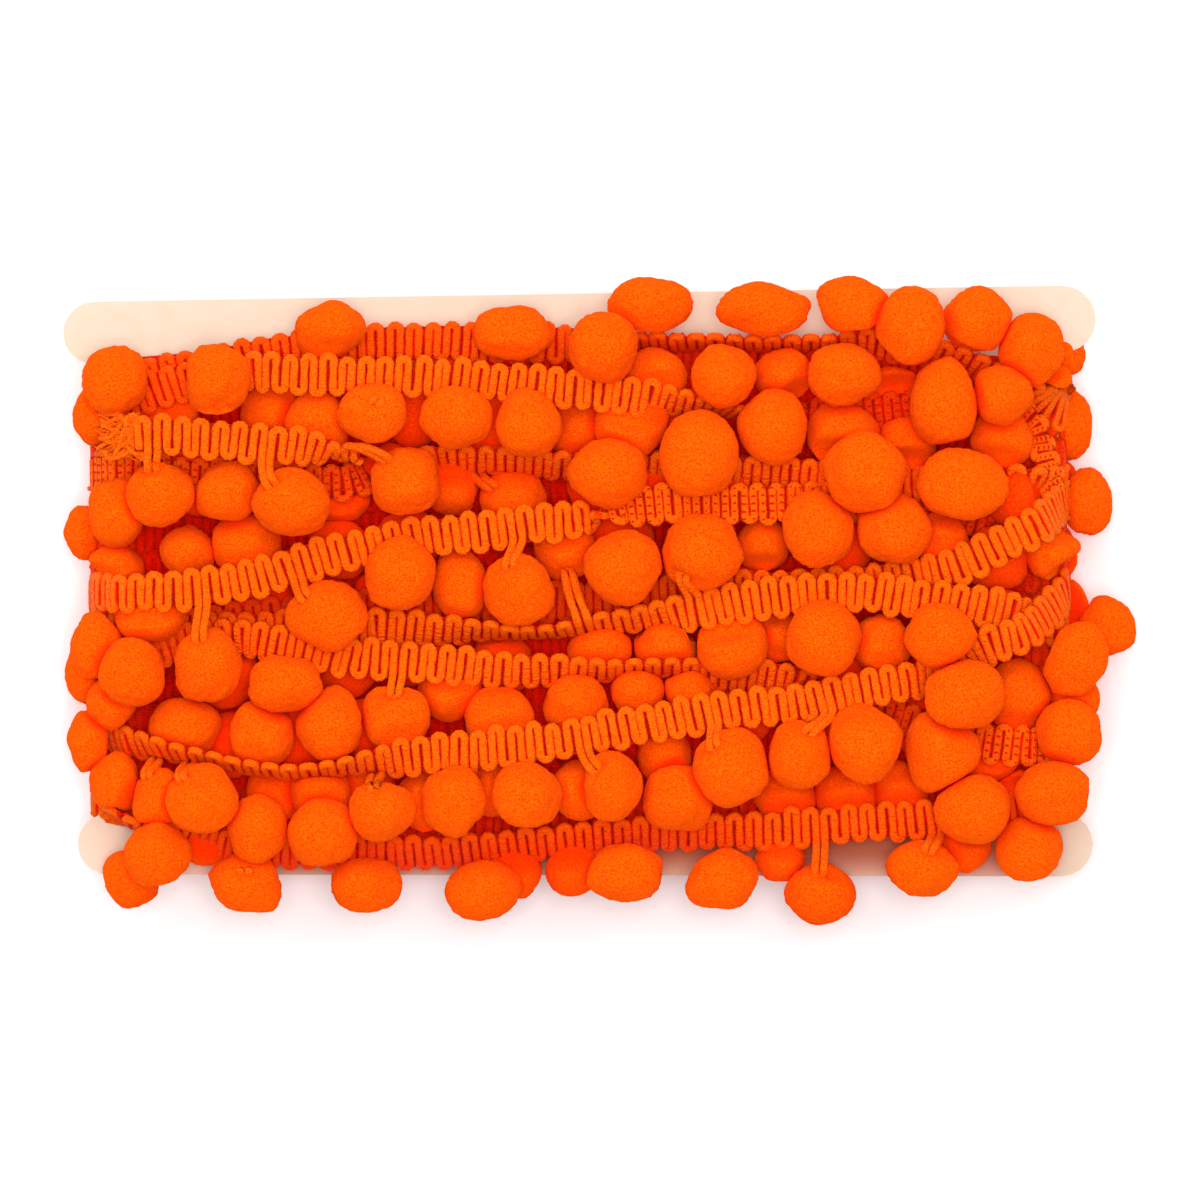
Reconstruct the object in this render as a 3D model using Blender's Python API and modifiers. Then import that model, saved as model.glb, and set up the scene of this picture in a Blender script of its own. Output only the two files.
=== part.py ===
"""Pompom fringe trim, about 9 m of it, wound flat round a cardboard holder.

The holder lies on its back: +X runs along the holder, +Y up its height, and
+Z out of the front of the winding. The origin is on the surface it lies on,
under the middle of the whole.

Nodes
  card         the cardboard holder, with four rounded ears
  wound_trim   the wound trim: the pad of inner turns, the outer turns of
               braid and their pompoms, as one solid
  loose_end    the cut end of the braid, lying free on the front
"""
import math
import random

import bmesh
import bpy
from mathutils import Euler, Matrix, Vector

MM = 0.001

# ---- holder ---------------------------------------------------------------
CARD_THICKNESS = 1.6 * MM
CARD_HEIGHT = 21.0 * MM            # middle of the card above the surface
WAIST_LEFT = -100.6 * MM           # the edges that the trim is wound round
WAIST_RIGHT = 92.0 * MM
EAR_STEPS = 10
EARS = (                           # middle of each rounded ear, and its radius
    # x, y, radius, side of the card: -1 left, 1 right
    (-101.4, 53.5, 6.3, -1),
    (-98.6, -48.9, 6.1, -1),
    (92.3, -49.0, 6.4, 1),
    (92.6, 56.3, 6.7, 1),
)

# ---- trim -----------------------------------------------------------------
BRAID_WIDTH = 8.6 * MM
BRAID_THICKNESS = 3.0 * MM         # the braid as it lies pressed into the pompoms
POMPOM_PITCH = 22.5 * MM           # from one pompom to the next along the braid
POMPOM_DIAMETER = 14.0 * MM
POMPOM_DROP = 12.0 * MM            # from the middle of the braid to the pompom

PAD_Y = (-46.0 * MM, 49.0 * MM)    # the pad of inner turns
PAD_WRAP = 1.8 * MM                # how far it stands past the edges of the waist
PAD_FRONT = 11.5 * MM
PAD_BACK = -10.5 * MM
PAD_SQUARENESS = 3.2               # 2 is an ellipse across the card, more is squarer
PAD_ROUND = 6.0 * MM               # rounding of its upper and lower edges
PAD_STEPS = 48

# Height of a pompom's middle over the middle of the card, by how it lies, at
# the middle of the winding. The winding thins towards the edges of the waist.
EDGE_SHARE = 0.6
LIFT = {
    "F": 18.0 * MM,                # in front of the others
    "M": 14.5 * MM,                # half covered
    "B": 11.5 * MM,                # behind, seen between the others
    "E": 8.5 * MM,                 # on the bare edge of the card
    "L": 8.0 * MM,                 # hanging over the lower edge
    "S": 0.5 * MM,                 # at the side, where the braid turns back
}

# Outer turns on the front, from the top edge down.
TURNS = {
    # name: (stations of the middle of the braid, pompoms)
    # station: x, y, lift over the middle of the card
    # pompom: x, y, width, height, how it lies
    "top": (
        ((-101.9, 41, 0), (-98, 42.5, 7), (-90, 44.2, 9), (-62, 49.5, 11), (-40, 51.4, 11),
         (-8, 51, 11), (26, 51, 12), (54, 51, 12), (70, 48.4, 12), (90, 39.5, 6),
         (93.4, 37.5, 0)),
        ((-97, 44, 13, 14, "F"), (-54, 54, 14, 11, "E"), (-44.5, 48, 11, 11, "B"),
         (-32.5, 48, 13, 13, "M"), (-17.5, 53, 16, 11, "E"), (0.5, 50.5, 14, 14, "F"),
         (10, 59, 17, 11, "E"), (32.5, 58, 18, 11, "E"), (51, 58.5, 16, 12, "E"),
         (62, 54.5, 14, 15, "F"), (75, 55.5, 14, 13, "E"), (86, 50, 13, 15, "F")),
    ),
    "upper": (
        ((-101.9, 37, 0), (-98, 39, 6), (-86, 43, 10), (-70, 45.6, 17), (-50, 45, 19),
         (-30, 44, 19), (-10, 42.4, 19), (10, 40, 19), (22, 38.4, 17), (36, 37, 11),
         (72, 39, 9), (82, 38.5, 10), (87, 34, 10), (88.3, 27, 10), (90.5, 22, 6),
         (93.4, 20, 0)),
        ((-100, 37.5, 10, 10, "B"), (-86.5, 37, 13, 13, "M"), (-76.5, 44, 13, 14, "F"),
         (-56.5, 35, 13, 13, "M"), (-45.5, 37.5, 14, 13, "F"), (-28.5, 36.5, 14, 13, "F"),
         (-14.5, 35, 13, 14, "F"), (-4.5, 34, 12, 12, "B"), (6, 35, 14, 14, "M"),
         (11, 44.5, 12, 12, "B"), (19.5, 29, 15, 18, "F"), (24.5, 44.5, 13, 13, "F"),
         (34.5, 34.5, 14, 15, "F"), (36.5, 45, 11, 11, "B"), (48.5, 45, 14, 13, "F"),
         (58.5, 41, 11, 12, "B"), (68.5, 39.5, 14, 18, "F"), (80, 41, 12, 12, "M"),
         (95.2, 34.5, 9, 14, "S")),
    ),
    "under_end": (
        ((-101.9, 25.5, 0), (-98, 25.5, 7), (-88, 25, 10), (-52, 23.5, 11), (-34, 28, 14),
         (-12, 27, 15), (20, 25, 15), (44, 24.6, 14), (60, 23, 11), (80, 23.6, 12),
         (88, 23.4, 11), (93.4, 23, 0)),
        ((-88, 21, 14, 14, "F"), (-74.5, 21.5, 13, 12, "M"), (-61.5, 19.5, 16, 13, "F"),
         (-96.5, 17.5, 12, 14, "M"), (-103, 13.5, 9, 11, "S"), (-39, 23.5, 14, 14, "F"),
         (-30, 22, 11, 11, "B"), (-17.5, 20, 13, 13, "M"), (1.5, 25, 15, 14, "F"),
         (48.5, 33, 15, 13, "M"), (52.5, 25.5, 16, 16, "F"), (61, 30.5, 12, 12, "B"),
         (80, 32, 12, 13, "B"), (72, 23, 18, 15, "F"), (97.8, 19.5, 10, 14, "S"),
         (43.5, 14, 14, 15, "F"), (58.5, 14, 15, 14, "F"), (68, 12, 11, 11, "B")),
    ),
    "rising": (
        ((-101.9, 0.8, 0), (-98, 1.4, 11), (-84, 2, 17), (-68, 4.7, 18), (-52, 9.3, 19),
         (-36, 12.5, 19), (-12, 15.2, 19), (0, 17.5, 19), (16, 19.2, 17), (38, 19.4, 15),
         (50, 19.5, 11), (70, 17, 8), (88, 13, 5), (93.4, 12, 0)),
        ((-97.5, 5.5, 12, 12, "M"), (-82.5, 9.5, 11, 11, "B"), (-71, 11, 14, 13, "B"),
         (-40.5, 5.5, 14, 15, "F"), (-28, 3, 11, 14, "M"), (-54.5, -3, 16, 14, "F"),
         (-16.5, 2, 14, 14, "F"), (-7, 10, 12, 12, "B"), (4.5, 6.5, 16, 15, "F"),
         (20, 9.5, 16, 15, "F"), (32.5, 11, 11, 11, "B"), (90.5, 11, 13, 13, "M"),
         (-90.5, -2.5, 15, 13, "M"), (-93.5, -14.5, 13, 14, "F"), (-101, -8, 11, 15, "S"),
         (-78.5, -13, 14, 15, "F")),
    ),
    "middle": (
        ((-101.9, -4, 0), (-98, -5, 7), (-80, -6, 10), (-60, -6, 12), (-44, -5.5, 15),
         (-20, -6.5, 17), (4, -4.5, 18), (20, -2, 18), (36, 0.5, 19), (52, 1.5, 19),
         (68, 0, 18), (82, -2.5, 14), (91.5, -5.5, 4), (93.4, -6, 0)),
        ((-63, -17, 15, 12, "F"), (0, -9.5, 13, 13, "B"), (13, -9, 13, 13, "B"),
         (26.5, -9, 14, 14, "M"), (35.5, -7, 11, 11, "B"), (44.5, -7.5, 15, 15, "F"),
         (56, -9, 12, 12, "M"), (67.5, -7, 14, 13, "F"), (95, -12, 12, 16, "F"),
         (101.5, -5.5, 12, 12, "S"), (83.5, -19.5, 13, 15, "M"), (72.5, -19, 16, 14, "F"),
         (94.5, -20, 11, 11, "B"), (93.8, -26.5, 13, 14, "M")),
    ),
    "behind_middle": (
        ((-101.9, -10, 0), (-98, -9, 5), (-60, -3, 8), (0, 0, 9), (32, 2, 13), (56, 3.6, 14),
         (76, 9, 17), (87.5, 15, 15), (93.4, 20.5, 0)),
        (),
    ),
    "lower": (
        ((-101.9, -16, 0), (-98, -14, 6), (-85, -9, 10), (-72, -7.6, 14), (-48, -11.9, 17),
         (-24, -13.6, 17), (0, -14.2, 17), (18, -13.8, 16), (40, -16.8, 13), (52, -21, 10),
         (74, -28, 11), (84, -29.4, 11), (93.4, -29.5, 0)),
        ((-103.2, -15.5, 8, 13, "S"), (-97.5, -20.5, 10, 11, "M"), (-83, -25.5, 14, 12, "M"),
         (-67.5, -27, 13, 14, "F"), (-54, -25, 13, 15, "F"), (-41, -23.5, 14, 13, "F"),
         (-30, -18, 13, 13, "M"), (-20.5, -24, 14, 14, "M"), (-5, -20.5, 13, 13, "M"),
         (7.5, -18, 11, 11, "B"), (18, -18, 11, 11, "B"), (-102, -27.8, 9, 12, "S")),
    ),
    "long": (
        ((-101.9, -25.8, 0), (-99.5, -26.8, 7), (-95, -28.2, 12), (-80, -31.5, 15),
         (-64, -34.5, 17), (-48, -33, 18), (-24, -30, 20), (0, -26.5, 20), (24, -22, 20),
         (48, -18.5, 20), (64, -15.5, 19), (78, -9, 19), (89, -3, 11), (93.4, 3, 0)),
        ((-97, -36.5, 10, 13, "M"), (-88, -40, 11, 13, "M"), (-79.5, -40, 14, 14, "F"),
         (-68.5, -45.5, 12, 14, "F"), (-55.5, -46.5, 14, 14, "F"), (-43.5, -42, 13, 12, "F"),
         (-29.5, -40, 13, 14, "F"), (-15, -39, 14, 13, "F"), (-4, -38, 12, 12, "B"),
         (2.5, -37, 12, 14, "F"), (13, -31, 11, 11, "B"), (15.5, -39.5, 14, 14, "F"),
         (26, -33.5, 16, 15, "F"), (37, -39.5, 12, 12, "B"), (39.5, -31, 13, 14, "F"),
         (49.5, -39, 13, 13, "B"), (52.5, -28.5, 15, 15, "F"), (68, -30, 15, 16, "F"),
         (74.5, -41.5, 15, 14, "F"), (90, -38.5, 15, 13, "M"), (85.5, -49.5, 13, 13, "M")),
    ),
    "bottom": (
        ((-101.9, -41.2, 0), (-100.2, -42.4, 6), (-96, -44.6, 10), (-91, -46.5, 12),
         (-75, -49, 11), (-40, -50.8, 11), (-8, -48.4, 12), (20, -46.5, 12), (48, -45, 13),
         (64, -43.9, 12), (82, -42, 8), (93.4, -40, 0)),
        ((-88.5, -50.7, 13, 12, "F"), (-94, -55.5, 12, 12, "E"), (-79, -48.5, 10, 10, "B"),
         (-70.7, -56.3, 15, 12, "L"), (-47, -57, 14, 11, "L"), (-23.5, -58, 15, 12, "L"),
         (-5.5, -54, 11, 11, "L"), (5, -54.5, 15, 12, "L"), (24.5, -56, 14, 12, "L"),
         (44, -58.5, 14, 12, "L"), (64.3, -53.4, 14, 11, "L")),
    ),
}

# The cut end: x, y and lift of the middle of the braid, left to right.
LOOSE_END = ((-97.5, 32.3, 20.4), (-92, 32.6, 21.0), (-76, 32, 21.8), (-60, 30.5, 21.6),
             (-49.5, 29.3, 20.5))
LOOSE_THICKNESS = 1.8 * MM
LOOSE_GAP = 0.4 * MM               # clear of the winding under it

# ---- back of the winding ---------------------------------------------------
BACK_TURNS = 7                     # outer turns on the back
BACK_Y = (-31.0 * MM, 46.0 * MM)   # middles of the lowest and highest of them
BACK_WANDER = 2.5 * MM
BACK_LIFT = (-15.6 * MM, -13.0 * MM)
BACK_BRAID_LIFT = -16.0 * MM
BACK_STATIONS = 8
SEED = 17

# ---- surface of the solid ---------------------------------------------------
REMESH_SIZE = 2.2 * MM
TRIANGLES = 8000
CARD_GAP = 0.35 * MM               # clear of the card in its slot
SURFACE_REACH = 200.0 * MM         # size of the block that cuts the winding flat


def clear_scene():
    for old in list(bpy.data.objects):
        bpy.data.objects.remove(old, do_unlink=True)


def new_collection(name):
    collection = bpy.data.collections.new(name)
    bpy.context.scene.collection.children.link(collection)
    return collection


def make_material(name, colour, roughness):
    material = bpy.data.materials.new(name)
    material.use_nodes = True
    shader = material.node_tree.nodes["Principled BSDF"]
    shader.inputs["Base Color"].default_value = (*colour, 1.0)
    shader.inputs["Roughness"].default_value = roughness
    shader.inputs["Metallic"].default_value = 0.0
    return material


def make_object(name, mesh, collection, material=None):
    thing = bpy.data.objects.new(name, mesh)
    collection.objects.link(thing)
    if material:
        mesh.materials.clear()
        mesh.materials.append(material)
    return thing


def evaluated_mesh(thing):
    """A plain mesh of the object with its modifiers applied."""
    bpy.context.view_layer.update()
    graph = bpy.context.evaluated_depsgraph_get()
    return bpy.data.meshes.new_from_object(thing.evaluated_get(graph))


def station(x, y, lift):
    return Vector((x * MM, y * MM, lift * MM))


# ---- holder -----------------------------------------------------------------
def ear_points(ear, grow):
    """The rounded tip of one ear, anticlockwise, as far as it meets the waist."""
    x, y, radius, side = ear
    radius = radius * MM + grow
    waist = (WAIST_LEFT if side < 0 else WAIST_RIGHT) + side * grow
    meet = math.acos((waist - x * MM) / radius)
    quarter = math.pi / 2
    if y > 0:
        sweep = (quarter, 4 * quarter - meet) if side < 0 else (-meet, quarter)
    else:
        sweep = (meet, 3 * quarter) if side < 0 else (-quarter, meet)
    angles = [sweep[0] + (sweep[1] - sweep[0]) * step / EAR_STEPS
              for step in range(EAR_STEPS + 1)]
    return [Vector((x * MM + radius * math.cos(angle), y * MM + radius * math.sin(angle)))
            for angle in angles]


def card_outline(grow=0.0):
    return [point for ear in EARS for point in ear_points(ear, grow)]


def card_mesh(name, grow=0.0):
    """The card's flat outline, extruded to its thickness about z = 0."""
    curve = bpy.data.curves.new(name, "CURVE")
    curve.dimensions = "2D"
    curve.fill_mode = "BOTH"
    curve.extrude = CARD_THICKNESS / 2 + grow
    outline = card_outline(grow)
    spline = curve.splines.new("POLY")
    spline.points.add(len(outline) - 1)
    for point, place in zip(spline.points, outline):
        point.co = (place.x, place.y, 0.0, 1.0)
    spline.use_cyclic_u = True
    guide = bpy.data.objects.new(name, curve)
    bpy.context.scene.collection.objects.link(guide)
    mesh = evaluated_mesh(guide)
    bpy.data.objects.remove(guide)
    solid = bmesh.new()
    solid.from_mesh(mesh)
    bmesh.ops.remove_doubles(solid, verts=solid.verts, dist=0.00001)
    bmesh.ops.recalc_face_normals(solid, faces=solid.faces)
    solid.to_mesh(mesh)
    solid.free()
    return mesh


# ---- shapes of the winding ---------------------------------------------------
def add_pompom(cloth, middle, width, height, depth):
    frame = Matrix.LocRotScale(middle, Euler(), Vector((width, height, depth)) / 2)
    bmesh.ops.create_icosphere(cloth, subdivisions=3, radius=1.0, matrix=frame)


def add_braid(cloth, stations, width, thickness):
    """A flat band through the stations, its faces square to the card."""
    rings = []
    for index, place in enumerate(stations):
        ahead = stations[min(index + 1, len(stations) - 1)]
        behind = stations[max(index - 1, 0)]
        along = (ahead - behind).normalized()
        across = Vector((-along.y, along.x, 0.0)).normalized() * width / 2
        up = along.cross(across).normalized() * thickness / 2
        rings.append([cloth.verts.new(place + a * across + b * up)
                      for a, b in ((-1, -1), (1, -1), (1, 1), (-1, 1))])
    for first, second in zip(rings, rings[1:]):
        for corner in range(4):
            following = (corner + 1) % 4
            cloth.faces.new((first[corner], first[following], second[following],
                             second[corner]))
    cloth.faces.new(list(reversed(rings[0])))
    cloth.faces.new(rings[-1])


def smooth_route(stations, step):
    """Points about a step apart on a smooth curve through the stations."""
    points = []
    last = len(stations) - 1
    for index in range(last):
        before = stations[max(index - 1, 0)]
        start, end = stations[index], stations[index + 1]
        after = stations[min(index + 2, last)]
        count = max(1, round((end - start).length / step))
        for number in range(count):
            t = number / count
            points.append(0.5 * (2 * start + (end - before) * t
                                 + (2 * before - 5 * start + 4 * end - after) * t * t
                                 + (3 * start - before - 3 * end + after) * t ** 3))
    points.append(stations[last])
    return points


def thinning(x):
    """How thick the winding is at x, as a share of its middle."""
    middle = (WAIST_LEFT + WAIST_RIGHT) / 2
    reach = (WAIST_RIGHT - WAIST_LEFT) / 2 + PAD_WRAP
    out = min(1.0, abs(x - middle) / reach)
    return max(EDGE_SHARE, (1.0 - out ** 5) ** (1 / 3))


def pad_ring(cloth, y, inset):
    """One section across the card at y, drawn in by the inset."""
    middle = (WAIST_LEFT + WAIST_RIGHT) / 2
    reach = (WAIST_RIGHT - WAIST_LEFT) / 2 + PAD_WRAP
    ring = []
    for step in range(PAD_STEPS):
        angle = 2 * math.pi * step / PAD_STEPS
        side, up = math.cos(angle), math.sin(angle)
        thickness = PAD_FRONT if up > 0 else -PAD_BACK
        x = middle + math.copysign(abs(side) ** (2 / PAD_SQUARENESS), side) * reach
        z = math.copysign(abs(up) ** (2 / PAD_SQUARENESS), up) * (thickness - inset)
        ring.append(cloth.verts.new((x, y, z)))
    return ring


def add_pad(cloth):
    """The inner turns: a flat lens round the waist, with rounded long edges."""
    low, high = PAD_Y
    rings = [pad_ring(cloth, y, inset) for y, inset in (
        (low, PAD_ROUND), (low + 0.3 * PAD_ROUND, 0.3 * PAD_ROUND), (low + PAD_ROUND, 0.0),
        (high - PAD_ROUND, 0.0), (high - 0.3 * PAD_ROUND, 0.3 * PAD_ROUND),
        (high, PAD_ROUND))]
    for first, second in zip(rings, rings[1:]):
        for step in range(PAD_STEPS):
            following = (step + 1) % PAD_STEPS
            cloth.faces.new((first[step], first[following], second[following], second[step]))
    cloth.faces.new(rings[0])
    cloth.faces.new(list(reversed(rings[-1])))


def add_front(cloth):
    for stations, pompoms in TURNS.values():
        route = smooth_route([station(*row) for row in stations], 5 * MM)
        add_braid(cloth, route, BRAID_WIDTH, BRAID_THICKNESS)
        for x, y, width, height, lies in pompoms:
            lift = LIFT[lies] * thinning(x * MM)
            add_pompom(cloth, Vector((x * MM, y * MM, lift)), width * MM, height * MM,
                       POMPOM_DIAMETER)


def back_route(level, chance):
    """One turn across the back, drawn in to the edges of the waist at both ends."""
    left, right = WAIST_LEFT - PAD_WRAP / 2, WAIST_RIGHT + PAD_WRAP / 2
    route = []
    for number in range(BACK_STATIONS + 1):
        x = left + (right - left) * number / BACK_STATIONS
        at_edge = number in (0, BACK_STATIONS)
        lift = -LIFT["S"] if at_edge else BACK_BRAID_LIFT * thinning(x)
        route.append(Vector((x, level + chance.uniform(-1, 1) * BACK_WANDER, lift)))
    return smooth_route(route, 6 * MM)


def add_back(cloth, chance):
    """Outer turns on the back, each with its row of pompoms under the braid."""
    low, high = BACK_Y
    for turn in range(BACK_TURNS):
        level = high - (high - low) * turn / (BACK_TURNS - 1)
        add_braid(cloth, back_route(level, chance), BRAID_WIDTH, BRAID_THICKNESS)
        x = WAIST_LEFT + POMPOM_PITCH * chance.uniform(0.2, 0.6)
        while x < WAIST_RIGHT - POMPOM_DIAMETER / 4:
            y = level - POMPOM_DROP + chance.uniform(-1, 1) * BACK_WANDER
            lift = chance.uniform(*BACK_LIFT) * thinning(x)
            width, height = (POMPOM_DIAMETER * chance.uniform(0.92, 1.08) for _ in "xy")
            add_pompom(cloth, Vector((x, y, lift)), width, height, POMPOM_DIAMETER)
            x += POMPOM_PITCH * chance.uniform(0.72, 0.95)


def keep_outer_skin(mesh):
    """Drop every closed skin but the largest, so no pocket is sealed inside."""
    solid = bmesh.new()
    solid.from_mesh(mesh)
    solid.faces.ensure_lookup_table()
    seen, skins = set(), []
    for face in solid.faces:
        if face.index in seen:
            continue
        skin, front = [], [face]
        seen.add(face.index)
        while front:
            current = front.pop()
            skin.append(current)
            for edge in current.edges:
                for other in edge.link_faces:
                    if other.index not in seen:
                        seen.add(other.index)
                        front.append(other)
        skins.append(skin)
    skins.sort(key=len)
    spare = [face for skin in skins[:-1] for face in skin]
    bmesh.ops.delete(solid, geom=spare, context="FACES")
    solid.to_mesh(mesh)
    solid.free()


def remeshed(mesh, guides):
    """The joined shapes as one closed skin of even faces."""
    thing = make_object("winding_shapes", mesh, guides)
    remesh = thing.modifiers.new("one skin", "REMESH")
    remesh.mode = "VOXEL"
    remesh.voxel_size = REMESH_SIZE
    remesh.adaptivity = 0.0
    smooth = thing.modifiers.new("soften", "SMOOTH")
    smooth.factor = 0.4
    smooth.iterations = 1
    skin = evaluated_mesh(thing)
    bpy.data.objects.remove(thing)
    keep_outer_skin(skin)
    return skin


def cut(thing, cutter, name):
    cutter.hide_render = True
    cutter.display_type = "WIRE"
    boolean = thing.modifiers.new(name, "BOOLEAN")
    boolean.operation = "DIFFERENCE"
    boolean.solver = "EXACT"
    boolean.object = cutter


def box_mesh(name, low, high):
    solid = bmesh.new()
    middle = (Vector(low) + Vector(high)) / 2
    bmesh.ops.create_cube(solid, size=1.0, matrix=Matrix.LocRotScale(
        middle, Euler(), Vector(high) - Vector(low)))
    mesh = bpy.data.meshes.new(name)
    solid.to_mesh(mesh)
    solid.free()
    return mesh


def loose_route():
    return smooth_route([station(*row) for row in LOOSE_END], 4 * MM)


def loose_mesh(name, grow=0.0):
    solid = bmesh.new()
    route = loose_route()
    if grow:
        ends = (route[0] - route[1]).normalized(), (route[-1] - route[-2]).normalized()
        route = [route[0] + ends[0] * grow] + route + [route[-1] + ends[1] * grow]
    add_braid(solid, route, BRAID_WIDTH + 2 * grow, LOOSE_THICKNESS + 2 * grow)
    bmesh.ops.recalc_face_normals(solid, faces=solid.faces)
    mesh = bpy.data.meshes.new(name)
    solid.to_mesh(mesh)
    solid.free()
    return mesh


def winding_mesh(guides):
    chance = random.Random(SEED)
    cloth = bmesh.new()
    add_pad(cloth)
    add_front(cloth)
    add_back(cloth, chance)
    bmesh.ops.recalc_face_normals(cloth, faces=cloth.faces)
    mesh = bpy.data.meshes.new("winding_shapes")
    cloth.to_mesh(mesh)
    cloth.free()
    return remeshed(mesh, guides)


def lighten(thing, triangles):
    """Fewer faces where the skin is nearly flat."""
    thing.data.calc_loop_triangles()
    decimate = thing.modifiers.new("lighten", "DECIMATE")
    decimate.decimate_type = "COLLAPSE"
    decimate.ratio = triangles / len(thing.data.loop_triangles)
    decimate.use_collapse_triangulate = True


def shift_to_middle(things):
    """The level move that brings the middle of the whole over the origin."""
    bpy.context.view_layer.update()
    graph = bpy.context.evaluated_depsgraph_get()
    corners = []
    for thing in things:
        final = thing.evaluated_get(graph)
        corners += [final.matrix_world @ vertex.co for vertex in final.data.vertices]
    middle = [(min(c[axis] for c in corners) + max(c[axis] for c in corners)) / 2
              for axis in (0, 1)]
    return Vector((-middle[0], -middle[1], 0.0))


def main():
    clear_scene()
    parts = new_collection("pompom_fringe_trim")
    guides = new_collection("cutters")
    orange = make_material("trim orange", (0.95, 0.13, 0.004), 0.9)
    cream = make_material("card cream", (0.93, 0.84, 0.7), 0.7)

    frame = bpy.data.objects.new("holder_frame", None)
    parts.objects.link(frame)
    frame.location = (0.0, 0.0, CARD_HEIGHT)

    card = make_object("card", card_mesh("card"), parts, cream)
    trim = make_object("wound_trim", winding_mesh(guides), parts, orange)
    end = make_object("loose_end", loose_mesh("loose_end"), parts, orange)
    lighten(trim, TRIANGLES)

    slot = make_object("card_slot", card_mesh("card_slot", CARD_GAP), guides)
    room = make_object("end_room", loose_mesh("end_room", LOOSE_GAP), guides)
    below = box_mesh("surface", (-SURFACE_REACH, -SURFACE_REACH, -SURFACE_REACH),
                     (SURFACE_REACH, SURFACE_REACH, -CARD_HEIGHT))
    floor = make_object("surface", below, guides)
    for cutter, name in ((slot, "card slot"), (room, "room for the cut end"),
                         (floor, "flat where it lies")):
        cut(trim, cutter, name)

    for thing in (card, trim, end, slot, room, floor):
        thing.parent = frame
    frame.location += shift_to_middle((card, trim, end))
    bpy.context.view_layer.update()


main()
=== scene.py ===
import math

import bpy
import numpy as np
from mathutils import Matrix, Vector


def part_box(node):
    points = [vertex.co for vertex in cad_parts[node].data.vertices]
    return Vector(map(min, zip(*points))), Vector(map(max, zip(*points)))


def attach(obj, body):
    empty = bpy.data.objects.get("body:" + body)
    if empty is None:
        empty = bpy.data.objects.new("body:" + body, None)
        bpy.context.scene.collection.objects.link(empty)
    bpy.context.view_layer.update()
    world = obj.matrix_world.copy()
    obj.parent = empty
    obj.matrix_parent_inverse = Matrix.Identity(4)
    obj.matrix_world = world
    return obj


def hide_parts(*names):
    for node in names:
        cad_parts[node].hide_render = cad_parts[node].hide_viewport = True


# Pompom fringe wound on a card. Places are in millimetres on the card:
# x along it, y up it, lift out of its front, all from the middle of the card.
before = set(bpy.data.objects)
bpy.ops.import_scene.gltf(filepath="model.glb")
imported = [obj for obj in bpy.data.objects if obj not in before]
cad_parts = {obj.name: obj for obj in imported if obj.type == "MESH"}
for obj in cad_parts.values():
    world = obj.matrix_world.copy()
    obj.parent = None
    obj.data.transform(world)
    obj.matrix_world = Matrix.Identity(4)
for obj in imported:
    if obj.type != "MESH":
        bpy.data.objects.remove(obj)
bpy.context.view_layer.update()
mm = 0.001

card = {
    "thickness": 1.6,
    "ears": [                            # x, y and radius of each rounded ear
        (-101.4, 53.5, 6.3), (-98.6, -48.9, 6.1), (92.3, -49.0, 6.4), (92.6, 56.3, 6.7)],
    "waist": (-100.6, 92.0),             # the edges that the trim goes round
    "height": (-55.4, 60.0),
    "colour": (0.70, 0.58, 0.44),
    "tints": ((0.97, 0.96, 0.94), (1.0, 1.0, 1.03)),     # shares of the colour, dark and light
    # painted shadow of the trim on the card, tinted by the orange light that bounces off the trim
    "dye": (0.42, 0.11, 0.05),
    "dyed": (("X", 6.0, 8.0, 82.0), ("Y", -48.0, 5.0, 7.0)),     # where the painted shadow lies: middle, fade, half width
    "mottle": 300.0,
    "grain": (1500.0, 0.15, 0.0001),     # scale, strength and height
    "finish": {"Roughness": 0.75, "Specular IOR Level": 0.3},
}

winding = {
    "middle": -4.25,                     # x of the middle of the waist
    "reach": 97.7,                       # from there to the braid that goes round its edges
    "edgeShare": 0.6,                    # thickness at the edges, as a share of the middle
    "taper": (5, 1 / 3, 3.0),            # how it thins towards there, and how far past it
    "edgeRound": 8.0,                    # how far from the edge the braid starts to turn
    "lift": {                            # of a pompom's middle, by how it lies
        "F": 18.0,                       # free in front
        "M": 14.5,                       # half under a turn
        "B": 11.5,                       # behind the turns
        "D": 9.5,                        # deep behind them
        "E": 8.5,                        # standing up at the upper edge
        "L": 9.0,                        # hanging at the lower edge
        "S": -6.5,                       # at the side, from the back
        "U": -8.0,                       # under the others
    },
    "deepest": 2.0,                      # lift where the painted shade makes the yarn reddest
    "clear": 21.0,                       # lift where the painted shade ends
    "darkest": 0.25,                     # share of the painted light that is left in the deepest yarn
    "edgeClear": (12.0, 8.0),            # how far in from the edge the painted shade starts to clear, and over what length
    "seeds": {"winding": 17, "braid": 100, "inner": 500, "looseEnd": 77, "felt": 3000},
}


def note(text):
    print("[trim]", text)


lowCard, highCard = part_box("card")
cardOnPlan = np.array([
    (min(x - r for x, y, r in card["ears"]) + max(x + r for x, y, r in card["ears"])) / 2,
    (min(y - r for x, y, r in card["ears"]) + max(y + r for x, y, r in card["ears"])) / 2,
    0.0])
origin = np.array((lowCard + highCard) / 2) / mm - cardOnPlan
floorLift = -origin[2]
cardFront = card["thickness"] / 2


def toWorld(points):
    return (np.asarray(points, float) + origin) * mm


def onCard(place, margin=0.0):
    left, right = card["waist"]
    bottom, top = card["height"]
    return ((place[:, 0] > left - margin) & (place[:, 0] < right + margin)
            & (place[:, 1] > bottom - margin) & (place[:, 1] < top + margin))


def thinning(x):
    # how thick the winding is there, as a share of the middle
    flatness, roundness, past = winding["taper"]
    out = np.minimum(1.0, abs(x - winding["middle"]) / (winding["reach"] + past))
    return np.maximum(winding["edgeShare"], (1.0 - out ** flatness) ** roundness)


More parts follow.
